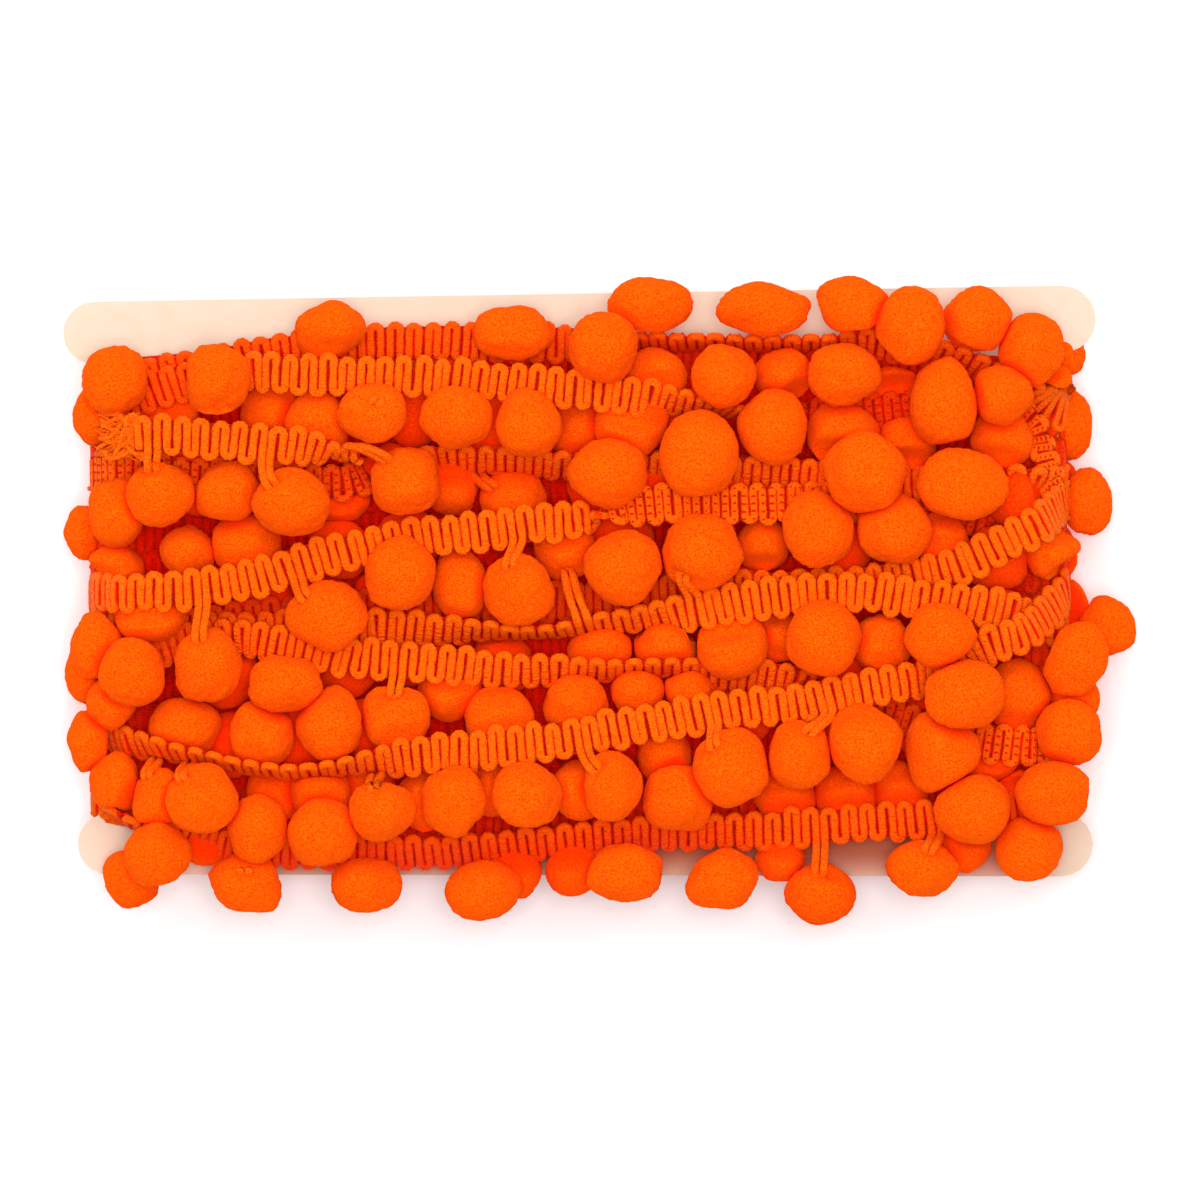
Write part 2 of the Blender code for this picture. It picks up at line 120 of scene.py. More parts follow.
def paintedDepthShade(points):
    # painted shade: 1 for what stands out or is at the edges, less for what lies deep in the winding,
    # whose colour is painted darker and redder
    lift = np.abs(points[:, 2]) / thinning(points[:, 0])
    standing = (lift - winding["deepest"]) / (winding["clear"] - winding["deepest"])
    inward, over = winding["edgeClear"]
    atEdge = (np.abs(points[:, 0] - winding["middle"]) - winding["reach"] + inward) / over
    return np.maximum(np.clip(standing, winding["darkest"], 1), np.clip(atEdge, 0, 1))


def lengths(vectors):
    return np.linalg.norm(vectors, axis=-1)


def unit(vectors):
    return vectors / np.maximum(lengths(vectors)[..., None], 1e-9)


def lengthAlong(path):
    return np.concatenate([[0], np.cumsum(lengths(np.diff(path, axis=0)))])


def outward(points):
    # straight out of the card, turning round its edges
    x = points[:, 0] - winding["middle"]
    soft = winding["edgeRound"]
    side = np.clip((np.abs(x) - winding["reach"] + soft) / soft, 0, 1) * np.sign(x)
    up = np.clip(points[:, 2] / soft, -1, 1)
    return unit(np.stack([side, np.zeros_like(x), up + 1e-6], axis=1))


def waveNoise(points, seed, size, height, count):
    # smooth noise with bumps of about the given size and height
    chance = np.random.default_rng(seed)
    waves = unit(chance.normal(size=(count, 3))) * 2 * math.pi / size
    waves *= chance.uniform(0.6, 1.6, (count, 1))
    phase = chance.uniform(0, 2 * math.pi, count)
    return np.sin(points @ waves.T + phase).sum(axis=1) / math.sqrt(count / 2) * height


def buildPiece(name, parts, material):
    # one piece from parts with arrays of points, four-sided and three-sided faces, and ways
    verts, quads, tris, ways = [], [], [], []
    start = 0
    for part in parts:
        verts.append(part["verts"])
        quads.append(part["quads"] + start)
        tris.append(part.get("tris", np.zeros((0, 3), int)) + start)
        ways.append(part.get("way", np.zeros((len(part["verts"]), 2))))
        start += len(part["verts"])
    verts, quads, tris, ways = (np.concatenate(each) for each in (verts, quads, tris, ways))
    # painted shade: the deeper it lies in the winding, the darker and redder its colour
    ways[:, 1] *= paintedDepthShade(verts)
    mesh = bpy.data.meshes.new(name)
    mesh.from_pydata(toWorld(verts).tolist(), [], quads.tolist() + tris.tolist())
    mesh.shade_smooth()
    corners = np.concatenate([quads.ravel(), tris.ravel()])
    layer = mesh.uv_layers.new(name="strand")
    layer.data.foreach_set("uv", ways[corners].astype(np.float32).ravel())
    mesh.materials.append(material)
    piece = bpy.data.objects.new(name, mesh)
    bpy.context.scene.collection.objects.link(piece)
    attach(piece, "root")
    return piece


braid = {
    "width": 8.6,
    "pitch": 1.89,                       # from one strand to the next
    "strandWidth": 1.84,
    "strandHeight": 1.5,
    "squareness": 0.6,                   # 1 for round strands, less for squarer ones
    "core": (7.4, 0.2, 6),               # width, height and step of the threads laid inside, painted dark as shade
    "folded": (0.2, 1.05),               # least and most share of its width
    "onEdge": 0.9,                       # room to each side of a braid on its edge
    "tip": 0.3,                          # how far a strand's end rounds off, for its height
    "uneven": (0.224, 0.098, 0.112),     # how far strands stray in length, place and height
    "lean": (0.45, 0.11),                # how far strands lean, and how soon that changes
    "crown": 0.18,                       # how much higher they are halfway across
    "swell": 0.06,                       # how much their width changes
    "letIn": 0.42,                       # how deep a braid on its edge lies, for its width
    "thread": 0.42,                      # width of the threads that hold the strands
    "threadRows": (-3.1, -1.55, 0.0, 1.55, 3.1),
    "threadLift": (-0.81, 0.1),          # under a strand, and where it comes up between two
    "threadSway": (0.12, 1.3),           # how far a thread strays, and how soon
    "detail": {"front": (8, 5, True), "back": (6, 4, False)},     # sides, points, threads
    "lit": (0.38, 0.78),                 # how far round a strand the painted shade turns from dark to light
    "litBend": 1.5,                      # how soon the outside of a bend gets painted light
    "colour": (0.98, 0.118, 0.002),
    "tints": ((0.96, 0.68, 1.0), (1.0, 1.5, 2.0)),       # shares of the colour, dark and light
    "shades": (                          # painted shade: from and to by its second way, and the share of the colour
        (0.05, 0.85, (0.88, 0.07, 1.0)),                 # painted shade where two strands touch
        (-0.2, 0.0, (0.4, 0.1, 1.0))),                   # painted shade on the core
    "mottle": 2400.0,
    "fibres": (1.5, 1.2, 1.0),           # how close they lie along the strand and across it
    "grain": (1.0, 0.0006),              # strength and height
    "finish": {
        "Roughness": 0.55, "Sheen Weight": 0.3, "Sheen Roughness": 0.4,
        "Sheen Tint": (1.0, 0.13, 0.01, 1), "Specular IOR Level": 0.12,
        "Specular Tint": (1.0, 0.4, 0.05, 1)},
}


# The two strands that a pompom hangs on.
link = {
    "width": 1.6,
    "apart": 0.54,                       # from the middle of the two, for the width
    "lift": 0.35,                        # how far they rise as they leave the braid
    "ease": 0.3,                         # how straight they go in, for their length
    "arch": 0.3,                         # how straight they leave the braid
    "depth": 0.8,                        # how far out in the pompom they end
    "dip": (0.3, 0.78, 0.55),            # how far to its side: least, most, most for L
    "near": 1.3,                         # how near its pompom a braid needs no dip
    "steep": 0.8,                        # how steeply they go in
    "dimpleLean": 0.15,                  # how much further over the dimple lies
}


def smoothRoute(rows, step=0.3):
    # every column eased through the stations by length, and the ways that the braid looks
    rows = np.array([(*row, 1.0)[:5] for row in rows], float)
    gaps = lengths(np.diff(rows[:, :3], axis=0))
    at = np.concatenate([[0], np.cumsum(np.maximum(gaps, 0.01))])
    slope = np.zeros_like(rows)
    slope[1:-1] = (rows[2:] - rows[:-2]) / (at[2:] - at[:-2])[:, None]
    slope[0] = (rows[1] - rows[0]) / (at[1] - at[0])
    slope[-1] = (rows[-1] - rows[-2]) / (at[-1] - at[-2])
    fine = np.linspace(0, at[-1], max(8, int(at[-1] / step)))
    index = np.clip(np.searchsorted(at, fine, side="right") - 1, 0, len(at) - 2)
    span = (at[index + 1] - at[index])[:, None]
    t = (fine - at[index])[:, None] / span
    curve = ((2 * t ** 3 - 3 * t ** 2 + 1) * rows[index]
             + (t ** 3 - 2 * t ** 2 + t) * span * slope[index]
             + (3 * t ** 2 - 2 * t ** 3) * rows[index + 1]
             + (t ** 3 - t ** 2) * span * slope[index + 1])
    roll = np.radians(curve[:, 3])[:, None]
    share = np.clip(curve[:, 4:5], *braid["folded"])
    middle = curve[:, :3]
    out = outward(middle)
    onEdge = np.abs(np.sin(roll))
    middle = middle - out * onEdge * braid["width"] * share * braid["letIn"]
    tangent = unit(np.gradient(middle, axis=0))
    side = unit(np.cross(out, tangent))
    up = np.cross(tangent, side)
    across = (np.cos(roll) * side + np.sin(roll) * up) * share
    return {
        "at": lengthAlong(middle),
        "middle": middle,
        "tangent": tangent,
        "across": across,                # shorter than 1 where the braid is folded
        "face": np.cos(roll) * up - np.sin(roll) * side,
        "side": side,                    # as seen from outside, whatever the roll
        "up": up,
        "top": onEdge * braid["width"] / 2 * share,      # how far it stands up
        "reach": braid["width"] / 2 * share * np.abs(np.cos(roll)) + braid["onEdge"] * onEdge,
    }


def onRoute(route, key, at):
    return np.stack([np.interp(at, route["at"], column) for column in route[key].T], axis=-1)


def nearestOnRoute(route, place):
    return int(np.argmin(lengths(route["middle"] - place)))


def tube(path, faces, width, height, sides, bare=0.0):
    # A round strand along the path. Faces holds the way that its top looks, and bare is
    # 1 where it touches no other strand and gets no painted shade. Its ways are the length
    # along it, and its painted light: 1 on its top, its underside and the outside of its bends,
    # down to 0 where two strands touch, which is painted shade.
    tangent = unit(np.gradient(path, axis=0))
    across = unit(np.cross(faces, tangent))
    top = np.cross(tangent, across)
    angle = 2 * math.pi * (np.arange(sides) + 0.5) / sides
    beside, above = (np.sign(part) * np.abs(part) ** braid["squareness"]
                     for part in (np.cos(angle), np.sin(angle)))
    ring = (beside[None, :, None] * across[:, None] * np.reshape(width, (-1, 1, 1)) / 2
            + above[None, :, None] * top[:, None] * height / 2)
    verts = (path[:, None] + ring).reshape(-1, 3)
    first = np.arange(len(path) - 1)[:, None] * sides
    corner = np.arange(sides)
    following = (corner + 1) % sides
    quads = np.stack([first + corner, first + following, first + sides + following,
                      first + sides + corner], axis=-1).reshape(-1, 4)
    length = lengthAlong(path)
    bending = np.gradient(tangent, axis=0) / np.maximum(np.gradient(length), 0.05)[:, None]
    outside = -np.einsum("ijk,ik->ij", unit(ring), bending) * braid["pitch"] / 2
    low, high = braid["lit"]
    # painted shade: dark at a strand's sides where it touches the next, light on the outside of bends
    upright = (np.abs(np.sin(angle))[None] - low) / (high - low)
    light = np.maximum(upright, outside * braid["litBend"]).clip(0, 1)
    light = np.maximum(light, np.reshape(bare, (-1, 1)))
    way = np.stack([np.repeat(length, sides), light.ravel()], axis=1)
    last = len(verts)
    tip = tangent * height * braid["tip"]
    verts = np.concatenate([verts, path[:1] - tip[:1], path[-1:] + tip[-1:]])
    way = np.concatenate([way, way[:1], way[-1:]])
    tris = np.concatenate([
        np.stack([following, corner, np.full(sides, last)], axis=1),
        np.stack([last - sides + corner, last - sides + following,
                  np.full(sides, last + 1)], axis=1)])
    return {"verts": verts, "quads": quads, "tris": tris, "way": way}


def drawnLoop(start, end, out, face, hung):
    # the two strands from the braid into the pompom, side by side
    inside, dip = hung["inside"], hung["dip"]
    beside = unit(np.cross(dip, face)) * link["width"] * link["apart"]
    if np.dot(beside, end - start) < 0:
        beside = -beside
    length = lengths(inside - start)
    t = np.linspace(0, 1, 9)[1:][:, None]

    def leg(first, last):
        a = first + out * length * hung["arch"] + face * link["lift"]
        b = last + dip * length * link["ease"]
        return ((1 - t) ** 3 * first + 3 * (1 - t) ** 2 * t * a + 3 * (1 - t) * t * t * b
                + t ** 3 * last)

    going = leg(start, inside - beside)
    coming = leg(end, inside + beside)[::-1]
    tip = (inside - dip * link["width"] / 2)[None]
    path = np.concatenate([going, tip, coming])
    path[:, 2] = np.maximum(path[:, 2], floorLift + link["width"] / 2 + 0.1)
    return path, np.repeat(face[None], len(path), axis=0)


def strandPath(route, hanging, chance, straight=5, bend=4):
    # One strand goes back and forth across the braid. Where a pompom hangs, the loop is
    # drawn out to it and comes back. Returns points, the way that they face, and widths.
    width = braid["width"]
    count = round(route["at"][-1] / braid["pitch"])
    pitch = route["at"][-1] / count
    inLength, inPlace, inHeight = braid["uneven"]
    half = (width - pitch - braid["strandWidth"]) / 2 + chance.normal(0, inLength, count + 1)
    shift = chance.normal(0, inPlace, count + 1)
    farthest, soon = braid["lean"]
    lean = farthest * np.sin(np.arange(count + 1) * soon + chance.uniform(0, 6))
    height = chance.normal(0, inHeight, count + 1)
    drawn = {}
    for hung in hanging:
        place = nearestOnRoute(route, hung["from"])
        k = int(route["at"][place] / pitch)
        wanted = 1 if hung["side"] < 0 else 0          # strands that end on that side
        k += (k % 2) != wanted
        while k in drawn or k - 1 in drawn or k + 1 in drawn:
            k += 2
        if 0 < k < count:
            drawn[k] = hung
    points, faces, widths = [], [], []
    for k in range(count):
        way = 1 if k % 2 == 0 else -1
        reach = np.linspace(-way * half[k - 1 if k else 0], way * half[k], straight)
        u = (k + 0.5) * pitch + shift[k] + lean[k] * reach / width
        w = height[k] + braid["crown"] * (1 - (reach / width * 2) ** 2)
        turn = (np.arange(bend) + 1) / (bend + 1) * math.pi
        nextU = (k + 1.5) * pitch + shift[k + 1] + lean[k + 1] * way * half[k] / width
        uTurn = (u[-1] + nextU) / 2 - (nextU - u[-1]) / 2 * np.cos(turn)
        vTurn = way * (half[k] + pitch / 2 * np.sin(turn))
        wTurn = np.full(bend, (height[k] + height[k + 1]) / 2)
        if k in drawn:
            uTurn, vTurn, wTurn = np.zeros(0), np.zeros(0), np.zeros(0)
        u, v, w = (np.concatenate(pair) for pair in ((u, uTurn), (reach, vTurn), (w, wTurn)))
        across, face = onRoute(route, "across", u), onRoute(route, "face", u)
        flat = onRoute(route, "middle", u) + across * v[:, None] + face * w[:, None]
        points.append(flat)
        faces.append(face)
        widths.append(braid["strandWidth"] * (1 + chance.normal(0, braid["swell"], len(flat))))
        if k in drawn:
            start = flat[-1]
            end = (onRoute(route, "middle", np.array([nextU]))[0]
                   + across[-1] * way * half[k])
            loop, loopFaces = drawnLoop(start, end, across[-1] * way, face[-1], drawn[k])
            points.append(loop)
            faces.append(loopFaces)
            widths.append(np.full(len(loop), link["width"]))
    return np.concatenate(points), np.concatenate(faces), np.concatenate(widths)


def holdingThreads(route, sides=3):
    # threads under the strands that come up between them
    count = round(route["at"][-1] / braid["pitch"])
    at = (np.arange(2 * count) / 2 + 0.5) * route["at"][-1] / count
    under, between = braid["threadLift"]
    far, soon = braid["threadSway"]
    w = np.where(np.arange(2 * count) % 2, between, under)
    parts = []
    for row, v in enumerate(braid["threadRows"]):
        path = (onRoute(route, "middle", at)
                + onRoute(route, "across", at) * (v + far * np.sin(at * soon + row))[:, None]
                + onRoute(route, "face", at) * w[:, None])
        parts.append(tube(path, onRoute(route, "face", at), braid["thread"], braid["thread"], sides))
    return parts


def braidParts(route, hanging, seed, sides=8, straight=5, threads=True):
    path, faces, widths = strandPath(route, hanging, np.random.default_rng(seed), straight)
    # links touch no other strand, so they get no painted shade
    bare = (widths == link["width"]).astype(float)
    strand = tube(path, faces, widths, braid["strandHeight"], sides, bare)
    coreWidth, coreHeight, step = braid["core"]
    wide = coreWidth * lengths(route["across"][::step])
    core = tube(route["middle"][::step], route["face"][::step], wide, coreHeight, 4)
    core["way"][:, 1] = -1                   # painted shade, darkest, as it lies deep between the strands
    held = holdingThreads(route) if threads else []
    # painted shade on the holding threads, which lie between the strands
    for part in held:
        part["way"][:, 1] = 0
    return [strand, core] + held


# Where it is cut, the strands come undone.
fray = {
    "yarns": 30,
    "yarnWidth": 0.95,
    "threads": 44,
    "threadWidth": 0.3,
    "from": (-92.6, -90.4),
    "to": (-101.0, -94.5),
    "farthest": -102.5,
    "height": (29.2, 36.6),
    "lift": (20.4, 14.5),                # at the braid, and at the far ends
    "stray": 3.5,                        # how much higher the far ends may be
    "spread": (0.5, 1.2),                # how far below and above the braid they may be
    "curve": (1.6, 0.7),                 # how late they turn away, and how soon they sway
    "sway": (1.3, 1.69, 0.52),
    "swings": (0.8, 2.2),
    "flatness": 0.9,
    "points": 16,
    "sides": (7, 4),                     # of a strand and of a thread
    "bare": 0.8,                         # how much lighter its painted shade is than that of pressed yarn
}


def frayedParts(chance):
    # strands and threads that have come undone at the cut
    parts = []
    t = np.linspace(0, 1, fray["points"])[:, None]
    low, high = fray["height"]
    below, above = fray["spread"]
    late, soon = fray["curve"]
    for number in range(fray["yarns"] + fray["threads"]):
        fine = number >= fray["yarns"]
        first = (chance.uniform(*fray["from"]), chance.uniform(low, high), fray["lift"][0])
        last = (chance.uniform(*fray["to"]), chance.uniform(low - below, high + above),
                fray["lift"][1] + chance.uniform(0, fray["stray"]))
        swings = chance.uniform(*fray["swings"], 3)
        phase = chance.uniform(0, 2 * math.pi, 3)
        sway = np.array(fray["sway"]) * np.sin(math.pi * t) ** soon        # none at the ends
        path = (np.array(first) * (1 - t ** late) + np.array(last) * t ** late
                + sway * np.sin(2 * math.pi * swings * t + phase))
        path[:, 0] = np.maximum(path[:, 0], fray["farthest"])
        width = fray["threadWidth"] if fine else fray["yarnWidth"]
        faces = np.repeat([[0.0, 0.0, 1.0]], len(path), axis=0)
        sides = fray["sides"][1 if fine else 0]
        parts.append(tube(path, faces, width, width * fray["flatness"], sides, fray["bare"]))
    return parts


pompom = {
    "diameter": 14.0,
    "pitch": 22.5,
    "drop": 12.0,
    "squash": 0.9,                       # how near two of them lie, as a share of their size
    "give": 0.6,                         # how softly a braid presses in
    "soft": 0.7,                         # how round the rim is where two of them press
    "flattens": 1.6,                     # how slowly they flatten there
    "sinks": 0.12,                       # how far each may go into the other
    "yields": (0.05, 5.0),               # how much more it gives to a higher one, and how high
    "rest": (0.05, 0.6),                 # gap to the floor, and how round its rim is there
    "cardGap": 0.1,
    "nearCard": (0.3, 3.0),              # past the card's edges, for the felt and for its middle
    "lumps": (1.5, 0.04, 10),            # size, height and number of the waves in the felt
    "nap": (2.6, 0.075, 14),
    "fuzz": (1.5, 0.05, 18),
    "dimple": (0.045, 0.26),             # width and depth where its link goes in
    "fill": 0.9,
    "free": {"table": 0.12, "I": 1.0, "K": 0.6},   # how far they move as they settle
    "cells": {"table": 18, "M": 13, "B": 13, "D": 13, "K": 8, "innerFront": 5, "innerBack": 4},
    "shade": 2.2,                        # how far from a braid or a neighbour the painted shade reaches
    "pressed": (0.4, 0.2),               # painted light that is left where a braid and where a neighbour presses
    "turned": (-6.0, 0.5, 0.6),          # lift below which it faces back, and the painted shade on its far side
    "colour": (0.98, 0.088, 0.001),
    "deepColour": (0.98, 0.05, 0.001),   # painted shade: a darker copy of the felt for those deep between the turns
    "tints": ((0.96, 0.5, 1.0), (1.0, 1.7, 2.0)),        # shares of the colour, dark and light
    "shades": (-0.15, 0.9, (1.0, 0.3, 1.0)),             # painted shade where pressed, turned away or deep
    "mottle": 2600.0,
    "grain": (3400.0, 0.7, 0.0005),      # scale, strength and height
    "finish": {
        "Roughness": 0.95, "Sheen Weight": 0.6, "Sheen Roughness": 0.4,
        "Sheen Tint": (1.0, 0.13, 0.01, 1), "Specular IOR Level": 0.0},
}

# Turns of braid on the front. A station is x, y, lift, roll in degrees, and a share of
# the full width where the braid is folded. A pompom is x, y, width, height, how it lies,
# and its tilt if it has one. How it lies is a letter from the winding's lifts, or its own
# lift where it hangs at the side. Under and over name the turns that it lies under or
# over where that letter doesn't say so. A link that shows is the x that it leaves the
# braid at, then x and y of its pompom, 1 if it leaves from the upper edge, where it
# meets the pompom, and how far it arches.
turns = {}
turns["top"] = {
    "stations": [
        (-101.9, 41, 0, 0), (-98, 42.5, 7, 0), (-90, 44.2, 9, 20), (-77, 47, 10.5, 10),
        (-62, 49.5, 11, 0), (-40, 51.4, 11.5, 0), (-8, 51.2, 11.5, 12), (4, 51.6, 12.5, 60),
        (20, 51.4, 13.5, 70), (44, 51.0, 13.5, 68), (54, 51, 13, 40), (70, 48.4, 12.5, 45),
        (84, 42.5, 10, 55), (90, 39.5, 6, 40), (93.4, 37.5, 0, 0)],
    "pompoms": [
        (-97, 44, 13, 14, "F"), (-54, 54, 14, 11, "E", 12), (-44.5, 48, 11, 11, "B"),
        (-32.5, 48, 13, 13, "M"), (-17.5, 53, 16, 11, "E"), (0.5, 50.5, 14, 14, "F"),
        (10, 59, 17, 11, "E"), (32.5, 58, 18, 11, "E"), (51, 58.5, 16, 12, "E", -30),
        (62, 54.5, 14, 15, "F"), (75, 55.5, 14, 13, "E"), (86, 50, 13, 15, "F"),
        (92.8, 49.3, 9, 9.5, "U"), (90.2, 42.8, 8, 9, 4)],
}
turns["upper"] = {
    "stations": [
        (-101.9, 37, 0, 0), (-98, 39, 6, 0), (-86, 43, 10, 0), (-76, 45, 13, 20), (-70, 45.6, 17, 10),
        (-60, 45, 19, 0), (-50, 44.8, 19.5, 0), (-30, 44.2, 19.5, 0), (-10, 42.4, 19.5, 0),
        (0, 41.6, 19.5, 0), (8, 40.4, 19, 10), (14, 39.5, 18.5, 45), (22, 38.4, 17.5, 62),
        (32, 37, 13, 90), (50, 37, 9, 180), (72, 39, 7, 180), (82, 38.5, 5.5, 180, 0.9),
        (87, 34.5, 6, 180, 0.65), (89, 28, 8, 180, 0.7), (90.8, 22, 6, 180, 0.8), (93.4, 20, 0, 180)],
    "pompoms": [
        (-100, 37.2, 10, 12, 5), (-86.5, 37, 13, 13, "M"), (-76.5, 44, 13, 14, "F"),
        (-56.5, 35, 13, 13, "M"), (-45.5, 37.2, 14, 12, "F"), (-28.5, 36.5, 14, 13, "F"),
        (-14.5, 35, 13, 14, "F"), (-4.5, 34, 12, 12, "B"), (6, 35, 14, 14, "M"), (11, 44.5, 12, 12, "B"),
        (19.5, 29, 15, 18, "F"), (24.5, 44.5, 13, 13, "F"), (36.5, 45, 11, 11, "B"),
        (48.5, 45, 14, 13, "F"), (34.5, 34.5, 14, 15, "F"), (58.5, 41, 11, 12, "B"),
        (68.5, 39.5, 14, 18, "F"), (80, 41, 12, 12, "M"), (94.2, 35, 9, 14, "S"), (-66, 37, 12, 12, "D")],
    "over": {(80, 41): ("upper",)},
    "links": [(-44.5, -45.5, 37.5)],
}
turns["underEnd"] = {
    "stations": [
        (-101.9, 25.5, 0, 180), (-98, 25.5, 7, 180), (-88, 25, 10, 180), (-74, 24, 11, 180),
        (-52, 23.5, 11, 180), (-44, 26, 12, 120), (-34, 28, 14, 50), (-20, 27.5, 15, 48),
        (-8, 26.8, 15, 45), (10, 25.8, 14.5, 30), (27, 25.4, 15, 25), (44, 24.6, 14, 25), (60, 23, 11, 0),
        (80, 23.6, 12, 30), (88, 23.4, 11, 40), (93.4, 23, 0, 0)],
    "pompoms": [
        (-96.5, 17.5, 12, 14, "M"), (-103, 13.5, 9, 11, "S"), (-30, 22, 11, 11, "B"),
        (-17.5, 20, 13, 13, "M"), (1.5, 25, 15, 14, "F"), (48.5, 33, 15, 13, "M"),
        (52.5, 25.5, 16, 16, "F"), (61, 30.5, 12, 12, "B"), (80, 32, 12, 13, "B"), (72, 23, 18, 15, "F"),
        (97.8, 19.5, 10, 14, "S"), (43.5, 14, 14, 15, "F"), (58.5, 14, 15, 14, "F"),
        (68, 12, 11, 11, "B"), (-52, 21, 12, 12, "D")],
    "over": {(-96.5, 17.5): ("underEnd",), (80, 32): ("upper",)},
    "links": [(-25, -17.5, 20)],
}
turns["rising"] = {
    "stations": [
        (-101.9, 0.8, 0, 0), (-100.8, 1.2, 8, 0), (-96.5, 1.4, 15, 0), (-90, 1.7, 17.5, 0),
        (-84, 2, 18, 0), (-76, 3, 18, 0), (-68, 4.7, 18.5, 0), (-60, 7.2, 19, 0), (-52, 9.3, 19, 0),
        (-44, 11, 19, 0), (-36, 12.5, 19, 0), (-20, 14.1, 19, 0), (-12, 15.2, 19, 0),
        (-6, 15.6, 19, 0, 1.0), (-2.5, 16.2, 19, 20, 0.75), (0, 17.0, 19.3, 90, 0.3),
        (2.5, 17.8, 19, 165, 0.6), (6, 18.6, 18, 180, 1.0), (16, 19.2, 17.5, 180), (28, 19.2, 17, 180),
        (38, 19.4, 15, 180), (50, 19.5, 11, 180), (70, 17, 8, 180), (88, 13, 5, 180), (93.4, 12, 0, 180)],
    "pompoms": [
        (-97.5, 5.5, 12, 12, "M"), (-82.5, 9.5, 11, 11, "B"), (-71, 11, 14, 13, "B"),
        (-40.5, 5.5, 14, 15, "F"), (-28, 3, 11, 14, "M"), (-54.5, -3, 16, 14, "F"),
        (-16.5, 2, 14, 14, "F"), (-7, 10, 12, 12, "B"), (4.5, 6.5, 16, 15, "F"), (20, 9.5, 16, 15, "F"),
        (32.5, 11, 11, 11, "B"), (90.2, 10.6, 12, 12.5, "F"), (-90.5, -2.5, 15, 13, "M"),
        (-93.5, -14.5, 13, 14, "F"), (-100.7, -9.2, 10.5, 14, 9), (-78.5, -13, 14, 15, "F")],
    "under": {(-97.5, 5.5): ("rising",), (90.2, 10.6): ("behindMiddle",)},
    "links": [(-62, -54.5, -3), (-82, -78.5, -13), (-20, -16.5, 2)],
}
turns["behindMiddle"] = {
    "stations": [
        (-101.9, -10, 0, 0), (-98, -9, 5, 0), (-60, -3, 8, 0), (0, 0, 9, 0), (20, 1.5, 11, 0),
        (32, 2, 13, 0), (44, 2.4, 13.5, 0), (56, 3.6, 14, 0), (64, 5, 15, 0), (70, 6.5, 16, 0),
        (76, 9, 17, 0), (82, 12, 17, 0), (87.5, 15, 15.5, 0), (91, 18.2, 9, 0), (93.4, 20.5, 0, 0)],
    "pompoms": [],
}
turns["middle"] = {
    "stations": [
        (-101.9, -4, 0, 0), (-98, -5, 7, 0), (-80, -6, 10, 0), (-60, -6, 12, 0), (-50, -6, 13.5, 0),
        (-44, -5.5, 15.5, 15), (-32, -6.0, 17, 40), (-20, -6.3, 18, 72), (-12, -6.4, 18.5, 76),
        (-5, -5.6, 19, 70), (2, -4.7, 19, 56), (12, -3.1, 19, 45), (16.5, -2.4, 18.5, 15),
        (20, -2, 18.5, 0), (28, -0.5, 19, 0), (36, 0.6, 19, 0), (44, 1.5, 19, 0), (52, 1.6, 19, 0),
        (60, 0.8, 19, 0), (68, 0, 18.5, 0), (76, -1.4, 17, 0), (82, -2.5, 14, 0), (87, -4, 8, 0),
        (91.5, -5.5, 4, 0), (93.4, -6, 0, 0)],
    "pompoms": [
        (-63, -17, 15, 12, "F"), (0, -9.5, 13, 13, "B"), (13, -9, 13, 13, "B"), (26.5, -9, 14, 14, "M"),
        (35.5, -7, 11, 11, "B"), (44.5, -7.5, 15, 15, "F"), (56, -9, 12, 12, "M"),
        (67.5, -7, 14, 13, "F"), (95, -12, 12, 16, "F", -25), (101.5, -5.5, 12, 12, "S"),
        (83.5, -19.5, 13, 15, "M"), (72.5, -19, 16, 14, "F"), (94.5, -20, 11, 11, "B"),
        (93.8, -26.5, 13.5, 14, "M")],
    "links": [(-5, -7, 10, 1), (16, 20, 9.5, 1)],
}
turns["lower"] = {
    "stations": [
        (-101.9, -16, 0, 0), (-98, -14, 6, 0), (-85, -9, 10, 0), (-72, -7.6, 14, 20), (-64, -9, 16, 10),
        (-56, -10.4, 17, 0), (-48, -11.9, 17.5, 0), (-40, -12.2, 17.5, 0), (-32, -12.8, 17.5, 0),
        (-24, -13.6, 17.5, 20), (-16, -14.2, 17.5, 30), (-8, -14, 17.5, 45), (0, -14.2, 17, 60),
        (8, -13.6, 16.5, 68), (18, -13.8, 16, 60), (24, -14.8, 15.5, 35), (32, -15.6, 14.5, 20),
        (40, -16.8, 13.5, 30), (52, -21, 10, 180), (64, -25, 9.5, 180), (74, -28, 11, 180),
        (84, -29.4, 11.5, 180), (90, -29.5, 6, 180), (93.4, -29.5, 0, 180)],
    "pompoms": [
        (-102.6, -14.4, 9, 13, 3), (-97.5, -20.5, 10, 11, "M"), (-83, -25.5, 14, 12, "M"),
        (-67.5, -27, 13, 14, "F"), (-54, -25, 13, 15, "F"), (-41, -23.5, 14, 13, "F"),
        (-30, -18, 13, 13, "M"), (-20.5, -24, 14, 14, "M"), (-5, -20.5, 13, 13, "M"),
        (7.5, -18, 11, 11, "B"), (18, -18, 11, 11, "B"), (-101.8, -28.1, 9, 12.6, 4)],
    "under": {
        (-83, -25.5): ("long",), (-67.5, -27): ("long",), (-54, -25): ("long",), (-41, -23.5): ("long",)},
    "over": {(-97.5, -20.5): ("lower", "long")},
    "links": [(-41, -41, -23.5)],
}
